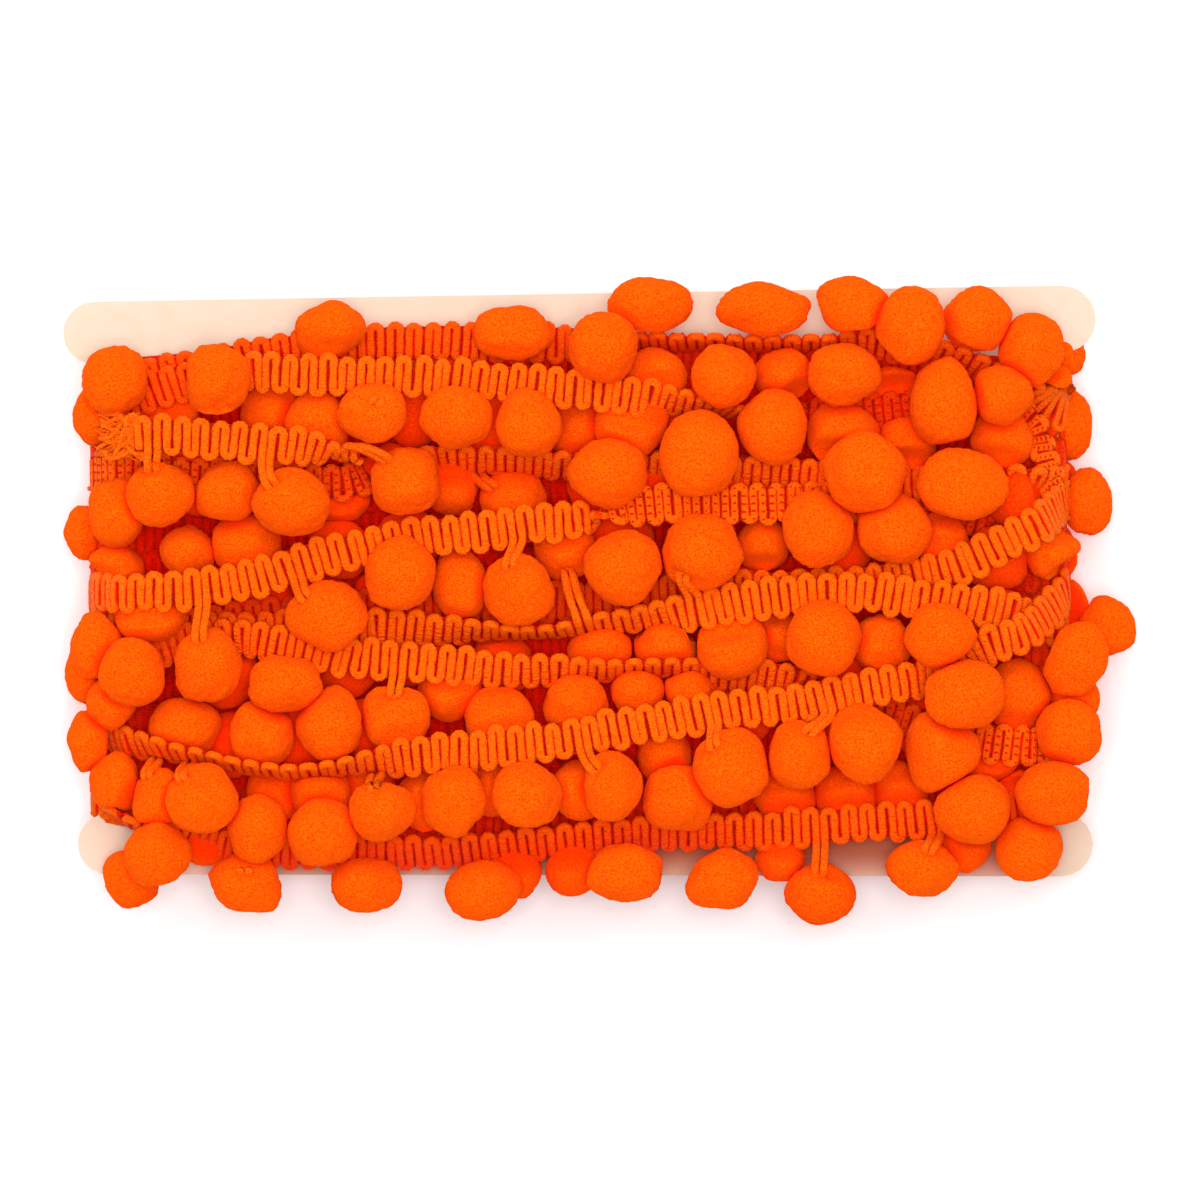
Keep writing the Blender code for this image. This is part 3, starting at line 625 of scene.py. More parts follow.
turns["long"] = {
    "stations": [
        (-101.9, -25.8, 0, 20), (-99.5, -26.8, 8, 30), (-95, -28.2, 12.5, 45), (-88, -29.8, 17, 62),
        (-80, -31.3, 19.5, 72), (-72, -33.0, 21, 75), (-64, -34.2, 22, 75), (-56, -34.0, 22.5, 74),
        (-49, -33.0, 22.5, 64), (-44, -32.2, 22, 45), (-38, -31.3, 21, 15), (-32, -30.5, 20, 0),
        (-24, -30, 20, 0), (-8, -27.9, 20, 0), (8, -25, 20, 0), (24, -22.2, 20, 0), (32, -21.2, 20, 0),
        (40, -20.4, 20, 0), (48, -18.7, 20, 0), (56, -17.2, 20, 0), (62, -16, 19.5, 15),
        (67, -14.2, 19.5, 55), (72, -11.8, 19.5, 50), (78, -9, 19, 15), (84, -6.8, 17, 10),
        (89, -3, 11, 0), (92.4, 1, 5, 0), (93.4, 3, 0, 0)],
    "pompoms": [
        (-97, -36.5, 10, 13, "M"), (-88, -40, 11, 13, "M"), (-79.5, -40, 14, 14, "F"),
        (-68.5, -45.5, 12, 14, "F"), (-55.5, -46.5, 14, 14, "F"), (-43.5, -42, 13, 12, "F"),
        (-29.5, -40, 13, 14, "F"), (-15, -39, 14, 13, "F"), (-4, -38, 12, 12, "B"),
        (2.5, -37, 11.5, 14, "F"), (13, -31, 11, 11, "B"), (15.5, -39.5, 14, 14, "F"),
        (26, -33.5, 16, 15, "F"), (37, -39.5, 12, 12, "B"), (39.5, -31, 13, 14, "F"),
        (49.5, -39, 13, 13, "B"), (52.5, -28.5, 15, 15, "F"), (68, -30, 15, 16, "F"),
        (74.5, -41.5, 15, 14, "F"), (90, -38.5, 15, 13, "M"), (85.5, -49.5, 13, 13, "M"),
        (-56, -38, 12, 12, "D"), (-65, -38.5, 12, 12, "D"), (-47, -38, 12, 12, "D"),
        (-35, -40, 12, 12, "D"), (-22, -37, 12, 12, "D"), (60, -38, 12, 12, "D"), (84, -40, 12, 12, "D"),
        (78, -31, 12, 12, "D")],
    "links": [
        (-90, -88, -40), (-84, -79.5, -40), (-46, -43.5, -42), (-26.5, -22, -37), (-4, 2.5, -37),
        (20, 26, -33.5), (41.5, 39.5, -31)],
}
turns["bottom"] = {
    "stations": [
        (-101.9, -41.0, 0, 20), (-100.6, -41.8, 6, 55), (-96.5, -43.6, 12, 76, 0.9),
        (-91, -45.5, 13.5, 74, 0.9), (-85, -47.0, 13, 50), (-75, -49, 11, 30), (-60, -50, 11, 30),
        (-48, -50.6, 11, 30), (-40, -50.8, 11, 35), (-24, -49.9, 11.5, 35), (-8, -48.4, 12, 35),
        (8, -46.8, 12, 35), (20, -46.5, 12.5, 30), (32, -46, 13, 15), (48, -45, 13, 10),
        (64, -43.9, 12.5, 10), (72, -43, 11, 0), (82, -42, 8, 0), (90, -41, 4, 0), (93.4, -40, 0, 0)],
    "pompoms": [
        (-88.5, -50.7, 13, 12.5, "F"), (-94, -55.5, 12, 12, "E"), (-79, -48.5, 10, 10, "B"),
        (-70.7, -56.3, 15, 12, "L", -15), (-47, -57, 14, 11, "L"), (-23.5, -58, 15, 12, "L"),
        (-16.5, -54.5, 10, 10, "B"), (-5.5, -54, 11, 11, "B"), (5, -54.5, 15, 12, "L"),
        (24.5, -56, 14, 12, "L", 15), (44, -58.5, 14, 12.5, "L", -20), (36, -52, 10, 9, "B"),
        (64.3, -53.4, 14.5, 11, "L"), (73, -49, 11, 11, "B")],
    "links": [(43, 44, -58.5), (65, 64.3, -53.4), (-71, -70.7, -56.3)],
}

# The cut end, which lies free on the front.
looseEnd = {
    "stations": [
        (-93, 32.5, 20.8, 0, 0.95), (-90, 32.6, 21.2, 0), (-84, 32.4, 21.6, 0), (-76, 32, 21.8, 0),
        (-68, 31.2, 21.8, 0), (-60, 30.5, 21.6, 10), (-55, 29.9, 21, 35, 0.8),
        (-52.5, 29.4, 20.5, 60, 0.6), (-50, 29.0, 20.5, 45, 0.5), (-48, 28.8, 20.5, 30, 0.4)],
    "pompoms": [
        (-88, 21, 13.6, 12.8, "F"), (-74.5, 21.5, 13, 12, "M"), (-61.5, 19.5, 16, 13, "F", -10),
        (-39, 23.5, 14, 14, "F")],
    "links": [(-70, -61.5, 19.5), (-90, -88, 21), (-51.5, -39, 23.5, 1, (-40, 30.5), 0.75)],
}

# Inner turns and the back follow a rule instead of a table.
inner = {
    "rows": 12,
    "from": 43.2,
    "to": -40.0,
    "stations": (-94, 86, 8),            # first x, last x and how many
    "ends": ((-101.6, -100.4), (92.9, 91.8)),      # x at each edge, outermost first
    "spread": 0.1,                       # how much further they reach in the middle
    "lift": (2.4, 3.6),                  # one row and the next
    "edgeLift": 1.6,
    "wander": 0.25,
    "strip": (11.4, 0.3, 0.45, 8),       # width, height, depth and step of what is under a row
    "detail": {"outer": (3, 3, 5), "others": (2, 2, 4)},     # points, points to a bend, sides
    "colour": (0.98, 0.035, 0.001),      # painted shade: a darker, redder copy of the yarn, as little light gets in between the turns
    "pompomLift": 7.4,
    "pompomRows": (36.0, -38.0),
    "pompomReach": (-94.0, 89.0),
    "highest": 8.4,                      # none of the inner pompoms stands further out
    "spacing": 14.2,
    "rowSpacing": 0.87,                  # as a share of that
    "astray": 2.5,
    "sizes": (0.88, 1.0),                # as shares of a pompom's diameter
    "room": 9.0,                         # clear of the pompoms that show between the turns
}

back = {
    "wander": 2.5,
    "lift": -16.2,
    "stations": 7,
    "across": (0.03, 0.94),              # where they start, and how much of the way they take
    "narrower": (0.86, 2.0),             # share of the height in front, and how far up
    "pompomLift": (-15.8, -12.6),
    "ends": ((4, 14), 8),                # how far from the ends of a turn pompoms hang
    "pitches": (0.8, 1.0),               # as shares of a pompom's pitch
    "astray": (3, 2),
    "sizes": (0.93, 1.06),
    "heights": (0.9, 1.08),              # as shares of its width
    "lowest": -48.0,                     # no pompom hangs below this
    "linked": (5, 24, 4),                # least and most gap, and least drop, for a link
}


def backStations(start, following, chance):
    # from the end of one front turn, behind the card, to the start of the next
    roll = start[3]
    lastRoll = following[3] if abs(following[3] - roll) < 1 else following[3] + 360
    rows = [(*start[:3], roll)]
    before, taken = back["across"]
    narrower, raised = back["narrower"]
    for step in range(back["stations"]):
        share = (step + 0.5) / back["stations"]
        x = start[0] + (following[0] - start[0]) * (before + taken * share)
        y = start[1] + (following[1] - start[1]) * share
        y = y * narrower + raised + chance.uniform(-1, 1) * back["wander"]
        rows.append((x, y, back["lift"] * thinning(x), roll + (lastRoll - roll) * share))
    rows.append((*following[:3], lastRoll))
    return rows


def innerStations(row, sign, chance):
    # one inner row, in front where sign is 1 and behind where it is -1
    y = inner["from"] + (inner["to"] - inner["from"]) * row / (inner["rows"] - 1)
    lift = sign * inner["lift"][row % 2]
    edgeLift = sign * inner["edgeLift"]
    (left, nearLeft), (right, nearRight) = inner["ends"]
    rows = [(left, y, 0, 0), (nearLeft, y, edgeLift, 0)]
    for x in np.linspace(*inner["stations"]):
        aside = chance.uniform(-1, 1) * inner["wander"]
        middle = 1 - ((x - winding["middle"]) / winding["reach"]) ** 2
        rows.append((x, y * (1 + inner["spread"] * middle) + aside, lift * thinning(x), 0))
    rows += [(nearRight, y, edgeLift, 0), (right, y, 0, 0)]
    return rows if sign > 0 else rows[::-1]


def pompomRow(turn, lies, place, half, tilt=0.0):
    # Lies is a letter from the winding's lifts, A for one with a lift of its own, I for an
    # inner one and K for one at the back. Drawn is its place in a table, if it has one.
    free, cells = pompom["free"], pompom["cells"]
    return {"turn": turn, "lies": lies, "place": place, "half": half, "tilt": tilt,
            "free": free.get(lies, free["table"]),
            "cells": cells.get(turn, cells.get(lies, cells["table"])),
            "drawn": (0, 99), "under": (), "over": ()}


def shownPompoms():
    # the ones that a table gives a place
    balls = []
    for name, turn in {**turns, "looseEnd": looseEnd}.items():
        for x, y, width, height, lies, *tilt in turn["pompoms"]:
            aside = not isinstance(lies, str)
            lift = lies if aside else winding["lift"][lies] * thinning(x)
            half = np.array([width, height, pompom["diameter"]]) / 2
            ball = pompomRow(name, "A" if aside else lies, np.array([x, y, lift]), half,
                             math.radians(tilt[0]) if tilt else 0.0)
            ball["drawn"] = (x, y)
            for key in ("under", "over"):
                ball[key] = turn.get(key, {}).get((x, y), ())
            balls.append(ball)
    return balls


def innerPompoms(shown, chance):
    # these close the gaps in front and behind
    balls = []
    places = np.array([ball["place"][:2] for ball in shown if ball["lies"] in "MBDSA"])
    step = inner["spacing"]
    first, last = inner["pompomReach"]
    for sign, group in ((1, "innerFront"), (-1, "innerBack")):
        for row, y in enumerate(np.arange(*inner["pompomRows"], -step * inner["rowSpacing"])):
            for x in np.arange(first + (row % 2) * step / 2, last, step):
                place = np.array([x, y, sign * inner["pompomLift"]])
                place[:2] += chance.uniform(-inner["astray"], inner["astray"], 2)
                size = pompom["diameter"] * chance.uniform(*inner["sizes"])
                if sign < 0 or lengths(places - place[:2]).min() >= inner["room"]:
                    balls.append(pompomRow(group, "I", place, np.full(3, size / 2)))
    return balls


def backPompoms(routes, chance):
    # the back hangs the same way as the front
    balls = []
    firstAt, lastGap = back["ends"]
    farX, farY = back["astray"]
    for name, route in routes.items():
        at = chance.uniform(*firstAt)
        while at < route["at"][-1] - lastGap:
            place = onRoute(route, "middle", np.array([at]))[0]
            place += [chance.uniform(-farX, farX), chance.uniform(-farY, farY) - pompom["drop"], 0]
            place[2] = chance.uniform(*back["pompomLift"]) * thinning(place[0])
            if place[1] > back["lowest"]:
                size = pompom["diameter"] * chance.uniform(*back["sizes"])
                half = np.array([size, size * chance.uniform(*back["heights"]), size]) / 2
                balls.append(pompomRow(name, "K", place, half, chance.uniform(-1, 1)))
            at += pompom["pitch"] * chance.uniform(*back["pitches"])
    return balls


settling = {
    "rounds": 90,
    "push": 0.35,                        # how much of an overlap a round takes away
    "shove": 0.3,                        # the same between a pompom and a braid
    "home": (0.3, 0.03),                 # how much of the way back, flat and in lift
    "resting": (1.15, 0.7),              # room on a braid, beside it and over its middle
    "hanging": (0.9, 0.85),              # the same under one
    "roundness": 1.6,                    # how soon that room grows from beside to over
    "along": 2.5,                        # how far along a braid it meets a pompom
    "flattened": 0.85,                   # height of a braid on its edge, as a share
    "frontLift": 3.0,                    # from here up a braid is one in front
    "edge": 3.0,                         # how near the edge it goes round
    "cardMargin": 2.0,
    "onCard": 0.86,                      # how near the card and the floor, as shares
    "onFloor": 0.74,
}


def sampleRoutes(routes, every=12):
    # places along all the routes, one after another
    rows = {key: np.concatenate([route[key][::every] for route in routes.values()])
            for key in ("middle", "side", "up", "tangent", "top", "reach")}
    rows["owner"] = np.concatenate([[name] * len(route["middle"][::every])
                                    for name, route in routes.items()])
    return rows


def bandSides(balls, over, bands):
    # 1 where a pompom lies on a braid and -1 where the braid lies on it
    sides = np.where(over >= 0, 1.0, -1.0)
    front = bands["middle"][:, 2] > settling["frontLift"]
    out = np.abs(bands["middle"][:, 0] - winding["middle"])
    atEdge = out > winding["reach"] - settling["edge"]
    for row, ball in enumerate(balls):
        if ball["lies"] == "F":
            sides[row, front] = 1
        elif ball["lies"] == "A":
            sides[row, atEdge] = 1
        elif ball["lies"] in "EL":
            sides[row, bands["owner"] == ball["turn"]] = 1
        elif ball["lies"] in "MBDI":
            sides[row, front & (bands["owner"] == ball["turn"])] = -1
        for name in ball["under"]:
            sides[row, bands["owner"] == name] = -1
        for name in ball["over"]:
            sides[row, bands["owner"] == name] = 1
    return sides


def settle(balls, routes):
    # push pompoms apart until they only press on one another
    place = np.array([ball["place"] for ball in balls])
    home = place.copy()
    size = np.array([ball["half"][:2].mean() for ball in balls])
    height = np.array([ball["half"][2] for ball in balls])
    free = np.array([ball["free"] for ball in balls])
    inside = np.array([ball["lies"] == "I" for ball in balls])
    move = np.stack([free, free, np.ones_like(free)], axis=1)
    near = pompom["squash"] * (size[:, None] + size[None])
    outside = np.where(home[:, 2] >= 0, 1.0, -1.0)
    bands = sampleRoutes(routes)
    rows = np.arange(len(place))
    sides = None
    flat, upright = settling["home"]
    restBeside, restOver = settling["resting"]
    hangBeside, hangOver = settling["hanging"]
    drift = np.stack([flat * (1 - free), flat * (1 - free), np.full_like(free, upright)], axis=1)
    for _ in range(settling["rounds"]):
        away = place[:, None] - place[None]
        apart = lengths(away) + np.eye(len(place)) * 1e3
        deep = np.maximum(near - apart, 0)
        push = (away / apart[..., None] * deep[..., None]).sum(axis=1)
        place += settling["push"] * push * move
        away = place[:, None] - bands["middle"][None]
        beside, along, over = (np.einsum("ijk,jk->ij", away, bands[key])
                               for key in ("side", "tangent", "up"))
        if sides is None:
            sides = bandSides(balls, over, bands)
        over = over - bands["top"].T * settling["flattened"]
        clear = np.maximum(np.abs(beside) - bands["reach"].T, 0) / size[:, None]
        nearer = np.maximum(1 - clear, 0) ** settling["roundness"]
        resting = restBeside + restOver * size[:, None] * nearer
        hanging = hangBeside + hangOver * height[:, None] * np.sqrt(np.maximum(1 - clear ** 2, 0))
        room = np.where(sides > 0, resting, hanging)
        alongside = np.abs(along) < settling["along"]
        meets = (clear < 1) & alongside & (sides * over < room)
        shove = np.where(meets, sides * (room - sides * over), 0)
        strongest = np.argmax(np.abs(shove), axis=1)
        moved = shove[rows, strongest][:, None] * bands["up"][strongest]
        place += settling["shove"] * moved * move
        place += (home - place) * drift
        low = settling["onCard"] * size + cardFront
        sunk = onCard(place, settling["cardMargin"]) & (outside * place[:, 2] < low)
        place[sunk, 2] = (outside * low)[sunk]
        place[inside, 2] = np.clip(place[inside, 2], -inner["highest"], inner["highest"])
        place[:, 2] = np.maximum(place[:, 2], floorLift + settling["onFloor"] * size)
    for row, ball in enumerate(balls):
        ball["place"] = place[row]
        ball["sides"] = {}
        for name in routes:
            mine = np.nonzero(bands["owner"] == name)[0]
            closest = mine[np.argmin(lengths(bands["middle"][mine] - place[row]))]
            ball["sides"][name] = sides[row, closest]
    return place, size


def ballGrid(cells):
    # directions and faces of a cube blown up to a ball, with this many cells to a side
    ticks = np.tan(np.linspace(-1, 1, cells + 1) * math.pi / 4)
    a, b = np.meshgrid(ticks, ticks, indexing="ij")
    one = np.ones_like(a)
    sheets = [(one, a, b), (-one, b, a), (b, one, a), (a, -one, b), (a, b, one), (b, a, -one)]
    points = np.concatenate([np.stack(sheet, axis=-1).reshape(-1, 3) for sheet in sheets])
    row = np.arange(cells)[:, None] * (cells + 1) + np.arange(cells)[None]
    quad = np.stack([row, row + cells + 1, row + cells + 2, row + 1], axis=-1).reshape(-1, 4)
    quads = np.concatenate([quad + sheet * (cells + 1) ** 2 for sheet in range(6)])
    rounded = np.round(points * 1e5).astype(np.int64)
    _, first, same = np.unique(rounded, axis=0, return_index=True, return_inverse=True)
    return unit(points[first]), same.ravel()[quads]


pressing = {
    "step": 2,                           # from one point of a route to the next
    "near": 1.0,                         # how far from touching a braid is still looked at
    "flat": 0.8,                         # how flat a braid lies that presses with its face
    "clear": 0.1,                        # between the felt and the strands
    "roundOff": 0.4,                     # how soon the felt swells beside a braid
    "along": 2.0,                        # how far from a point of the route it acts
    "beside": 4.5,                       # the same beside the braid
}


def pressByBraid(points, ball, routes):
    # A groove where a braid lies on the pompom or the pompom lies on a braid. Returns
    # how far each point is from the nearest of them, which sets the painted shade there.
    nearestGap = np.full(len(points), 99.0)
    far = ball["half"].max() + braid["width"] / 2 + pressing["near"]
    every = pressing["step"]
    for name, route in routes.items():
        middle = route["middle"][::every]
        picks = np.nonzero(lengths(middle - ball["place"]) < far)[0]
        if not len(picks):
            continue
        nearest = picks[np.argmin(lengths(points[:, None] - middle[picks][None]), axis=1)]
        up, across, face, side, top, reach = (route[key][::every] for key in (
            "up", "across", "face", "side", "top", "reach"))
        turned = (face * up).sum(axis=1)
        away = points - middle[nearest]
        sign = ball["sides"][name]
        closest = picks[np.argmin(lengths(middle[picks] - ball["place"]))]
        twists = turned[picks].min() < 0 < turned[picks].max()
        flat = abs(turned[closest]) > pressing["flat"]
        if flat or twists or ball["lies"] == "F" and sign > 0:
            out = up
            over = (away * up[nearest]).sum(axis=1) - top[nearest, 0] * settling["flattened"]
            aside = np.abs((away * side[nearest]).sum(axis=1))
            wide = reach[nearest, 0]
        else:                                # beside a braid on its edge
            out = face * np.where(turned < 0, -1, 1)[:, None]
            sign = 1 if (ball["place"] - middle[closest]) @ out[closest] > 0 else -1
            over = (away * out[nearest]).sum(axis=1)
            aside = np.abs((away * unit(across[nearest])).sum(axis=1))
            wide = lengths(across[nearest]) * braid["width"] / 2
        beyond = np.maximum(aside - wide, 0)
        short = (braid["strandHeight"] / 2 + pressing["clear"] - beyond ** 2 * pressing["roundOff"]
                 - sign * over)
        eased = pompom["give"] * np.logaddexp(0, short / pompom["give"])
        along = np.abs((away * route["tangent"][::every][nearest]).sum(axis=1))
        pressed = (along < pressing["along"]) & (beyond < pressing["beside"])
        points += out[nearest] * (np.where(pressed, eased, 0) * sign)[:, None]
        gap = np.hypot(beyond, np.maximum(np.abs(over) - braid["strandHeight"] / 2, 0))
        nearestGap = np.minimum(nearestGap, np.where(along < pressing["along"], gap, 99.0))
    return nearestGap


def pompomMesh(ball, number, neighbours, routes, linkInto):
    directions, quads = grids[ball["cells"]]
    half = ball["half"]
    mean = half.mean()
    c, s = math.cos(ball["tilt"]), math.sin(ball["tilt"])
    points = (directions * half) @ np.array([[c, s, 0], [-s, c, 0], [0, 0, 1]])
    seed = winding["seeds"]["felt"] + number
    lumps = waveNoise(directions, seed, *pompom["lumps"])
    nap = (waveNoise(directions * mean, seed + 7, *pompom["nap"])
           + waveNoise(directions * mean, seed + 9, *pompom["fuzz"]))
    points *= (1 + lumps + nap / mean)[:, None]
    if linkInto is not None:                 # drawn in where the link goes in
        wide, deep = pompom["dimple"]
        close = np.exp(-((1 - directions @ linkInto) / wide))
        points -= linkInto * (close * mean * deep)[:, None]
    soft = pompom["soft"]
    more, higher = pompom["yields"]
    for other, otherMean in neighbours:      # flat where two of them press
        away = other - ball["place"]
        distance = lengths(away)
        axis = away / distance
        share = mean / (mean + otherMean) - more * np.clip(away[2] / higher, -1, 1)
        limit = distance * share + pompom["sinks"]
        over = points @ axis - (limit - soft)
        eased = np.where(over > 0, soft * np.tanh(over / soft / pompom["flattens"]), over)
        points += axis * np.where(over > 0, eased - over, 0)[:, None]
    points += ball["place"]
    # painted shade: darker on the side turned away, and near braids and neighbours that press on it
    frontLift, far, over = pompom["turned"]
    side = 1 if ball["place"][2] > frontLift else -1
    light = np.clip((directions[:, 2] * side + far) / over, 0, 1)
    byBraid, byPompom = pompom["pressed"]
    if ball["lies"] != "S":
        gap = pressByBraid(points, ball, routes)
        light = np.minimum(light, byBraid + (1 - byBraid) * gap / pompom["shade"])
    for other, otherMean in neighbours:
        gap = lengths(points - other) - otherMean
        light = np.minimum(light, byPompom + (1 - byPompom) * gap / pompom["shade"])
    floorGap, ease = pompom["rest"]          # flat where it rests
    down = floorLift + floorGap
    under = points[:, 2] < down + ease
    points[under, 2] = down + ease * np.exp((points[under, 2] - down - ease) / ease)
    side = 1 if ball["place"][2] > 0 else -1
    near, nearMiddle = pompom["nearCard"]
    inside = (side * points[:, 2] < cardFront + pompom["cardGap"]) & onCard(points, near)
    if onCard(ball["place"][None], nearMiddle)[0]:
        points[inside, 2] = side * (cardFront + pompom["cardGap"])
    way = np.stack([np.zeros(len(points)), np.clip(light, 0, 1)], axis=1)
    return {"verts": points, "quads": quads, "way": way}


def newMaterial(name, colour, finish):
    material = bpy.data.materials.new(name)
    material.use_nodes = True
    shader = material.node_tree.nodes["Principled BSDF"]
    shader.inputs["Base Color"].default_value = (*colour, 1)
    for key, value in finish.items():
        shader.inputs[key].default_value = value
    return material, material.node_tree, shader


def addNode(tree, kind, links, **values):
    # links holds the sockets that feed the node's inputs
    node = tree.nodes.new(kind)
    for key, value in values.items():
        if key in node.inputs:
            node.inputs[key].default_value = value
        else:
            setattr(node, key, value)
    for key, socket in links.items():
        tree.links.new(socket, node.inputs[key])
    return node


def addEase(tree, value, low, high):
    # 0 up to low and 1 from high, or the other way if low is the greater
    ease = addNode(tree, "ShaderNodeMapRange", {"Value": value}, interpolation_type="SMOOTHSTEP")
    ease.inputs["From Min"].default_value = low
    ease.inputs["From Max"].default_value = high
    return ease.outputs[0]


def blendColour(tree, shader, factor, colour, whereLow):
    # blends a colour into what the shader has, where the factor is 0 or where it is 1
    base = shader.inputs["Base Color"]
    own, other = (6, 7) if whereLow else (7, 6)
    blend = addNode(tree, "ShaderNodeMix", {"Factor": factor}, data_type="RGBA", blend_type="MIX")
    blend.inputs[own].default_value = (*colour, 1)
    tree.links.new(base.links[0].from_socket, blend.inputs[other])
    tree.links.new(blend.outputs[2], base)


def tinted(colour, shares):
    return tuple(part * share for part, share in zip(colour, shares))


def noiseColour(tree, shader, coords, scale, detail, colour, tints):
    noise = addNode(tree, "ShaderNodeTexNoise", {"Vector": coords}, Scale=scale, Detail=detail)
    ramp = addNode(tree, "ShaderNodeValToRGB", {"Fac": noise.outputs["Fac"]})
    for element, position, shares in zip(ramp.color_ramp.elements, (0.3, 0.7), tints):
        element.position = position
        element.color = (*tinted(colour, shares), 1)
    tree.links.new(ramp.outputs["Color"], shader.inputs["Base Color"])
    return noise.outputs["Fac"]


def addBump(tree, shader, height, strength, distance):
    bump = addNode(tree, "ShaderNodeBump", {"Height": height}, Strength=strength, Distance=distance)
    tree.links.new(bump.outputs["Normal"], shader.inputs["Normal"])


def shadeByWay(tree, shader, low, high, colour):
    # painted shade: another colour where the second value of "strand" is low
    way = addNode(tree, "ShaderNodeUVMap", {}, uv_map="strand").outputs["UV"]
    split = addNode(tree, "ShaderNodeSeparateXYZ", {0: way})
    blendColour(tree, shader, addEase(tree, split.outputs["Y"], low, high), colour, True)
    return way


def pompomMaterial(name, colour):
    material, tree, shader = newMaterial(name, colour, pompom["finish"])
    coords = addNode(tree, "ShaderNodeTexCoord", {}).outputs["Object"]
    noiseColour(tree, shader, coords, pompom["mottle"], 2.0, colour, pompom["tints"])
    low, high, share = pompom["shades"]
    shadeByWay(tree, shader, low, high, tinted(colour, share))
    scale, strength, height = pompom["grain"]
    nap = addNode(tree, "ShaderNodeTexNoise", {"Vector": coords}, Scale=scale, Detail=2.0)
    addBump(tree, shader, nap.outputs["Fac"], strength, height)
    return material


def braidMaterial(name, colour):
    # painted shade where two strands touch and on the core, and mottled by the twist of the yarn
    material, tree, shader = newMaterial(name, colour, braid["finish"])
    coords = addNode(tree, "ShaderNodeTexCoord", {}).outputs["Object"]
    mottle = noiseColour(tree, shader, coords, braid["mottle"], 2.0, colour, braid["tints"])
    for low, high, share in braid["shades"]:
        way = shadeByWay(tree, shader, low, high, tinted(colour, share))
    stretch = addNode(tree, "ShaderNodeMapping", {"Vector": way}, Scale=braid["fibres"])
    fibre = addNode(tree, "ShaderNodeTexNoise", {"Vector": stretch.outputs["Vector"]},
                    Scale=1.0, Detail=3.0)
    both = addNode(tree, "ShaderNodeMath", {0: fibre.outputs["Fac"], 1: mottle}, operation="ADD")
    addBump(tree, shader, both.outputs[0], *braid["grain"])
    return material


def cardMaterial():
    material, tree, shader = newMaterial("cardCream", card["colour"], card["finish"])
    coords = addNode(tree, "ShaderNodeTexCoord", {}).outputs["Object"]
    noiseColour(tree, shader, coords, card["mottle"], 6.0, card["colour"], card["tints"])
    # painted shadow on the strip below the trim, tinted by the orange light that bounces off it
    split = addNode(tree, "ShaderNodeSeparateXYZ", {0: coords})
    dyed = addNode(tree, "ShaderNodeMath", {}, operation="MULTIPLY")
    for number, (key, spot, fade, width) in enumerate(card["dyed"]):
        edge = addNode(tree, "ShaderNodeMath", {0: split.outputs[key]}, operation="SUBTRACT")
        edge.inputs[1].default_value = (spot + origin["XY".index(key)]) * mm
        inside = addNode(tree, "ShaderNodeMath", {0: edge.outputs[0]}, operation="ABSOLUTE")
        ease = addEase(tree, inside.outputs[0], (width + fade) * mm, (width - fade) * mm)
        tree.links.new(ease, dyed.inputs[number])
    blendColour(tree, shader, dyed.outputs[0], card["dye"], False)
    scale, strength, height = card["grain"]
    pulp = addNode(tree, "ShaderNodeTexNoise", {"Vector": coords}, Scale=scale, Detail=3.0)
    addBump(tree, shader, pulp.outputs["Fac"], strength, height)
    return material


note("routes")
seeds = winding["seeds"]
chance = np.random.default_rng(seeds["winding"])
frontRoutes, backRoutes, innerRoutes = {}, {}, {}
names = list(turns)
for name, nextName in zip(names, names[1:] + names[:1]):
    frontRoutes[name] = smoothRoute(turns[name]["stations"])
    rows = backStations(turns[name]["stations"][-1], turns[nextName]["stations"][0], chance)
    backRoutes["back" + name[0].upper() + name[1:]] = smoothRoute(rows)
for row in range(inner["rows"]):
    for face, sign in (("Front", 1), ("Back", -1)):
        innerRoutes["inner%s%d" % (face, row)] = smoothRoute(innerStations(row, sign, chance))
endRoute = smoothRoute(looseEnd["stations"])
allRoutes = {**frontRoutes, **backRoutes, "looseEnd": endRoute}

note("pompoms settle")
balls = shownPompoms()
balls += innerPompoms(balls, chance)
balls += backPompoms(backRoutes, chance)
grids = {cells: ballGrid(cells) for cells in {ball["cells"] for ball in balls}}
places, sizes = settle(balls, allRoutes)

note("links")
links = {name: [] for name in allRoutes}
linkInto = {}


def addLink(name, spot, number, side=-1, meets=None, arch=link["arch"]):
    # from the braid at this spot of its route into the pompom with this number
    route, ball = allRoutes[name], balls[number]
    edge = route["across"][spot] * side * braid["width"] / 2
    edge *= 1 if route["across"][spot] @ route["side"][spot] > 0 else -1
    size = ball["half"].mean()
    out = route["up"][spot]
    toward = route["middle"][spot] + edge - ball["place"]
    if meets:
        toward = np.array([*meets, 0.0]) - ball["place"]
    toward = toward - out * (toward @ out)
    gap = lengths(toward)
    least, most, mostHanging = link["dip"]
    most = mostHanging if ball["lies"] == "L" else most
    low = np.clip((gap - link["near"]) / size, least, most)
    dip = unit(toward / gap * low + out * link["steep"] * math.sqrt(1 - low * low))
    linkInto[number] = unit(dip + toward / gap * link["dimpleLean"])
    links[name].append({"from": route["middle"][spot], "side": side, "dip": dip,
                        "inside": ball["place"] + dip * size * link["depth"], "arch": arch})


drawn = np.array([ball["drawn"] for ball in balls])
for name, turn in {**turns, "looseEnd": looseEnd}.items():
    for fromX, toX, toY, *more in turn.get("links", []):
        spot = int(np.argmin(np.abs(allRoutes[name]["middle"][:, 0] - fromX)))
        addLink(name, spot, int(np.argmin(lengths(drawn - (toX, toY)))), *more)
leastGap, mostGap, leastDrop = back["linked"]
for number, ball in enumerate(balls):
    if ball["lies"] == "K":
        route = allRoutes[ball["turn"]]
        spot = nearestOnRoute(route, ball["place"])
        away = ball["place"] - route["middle"][spot]
        if leastGap < lengths(away) < mostGap and -away @ route["side"][spot] > leastDrop:
            addLink(ball["turn"], spot, number)

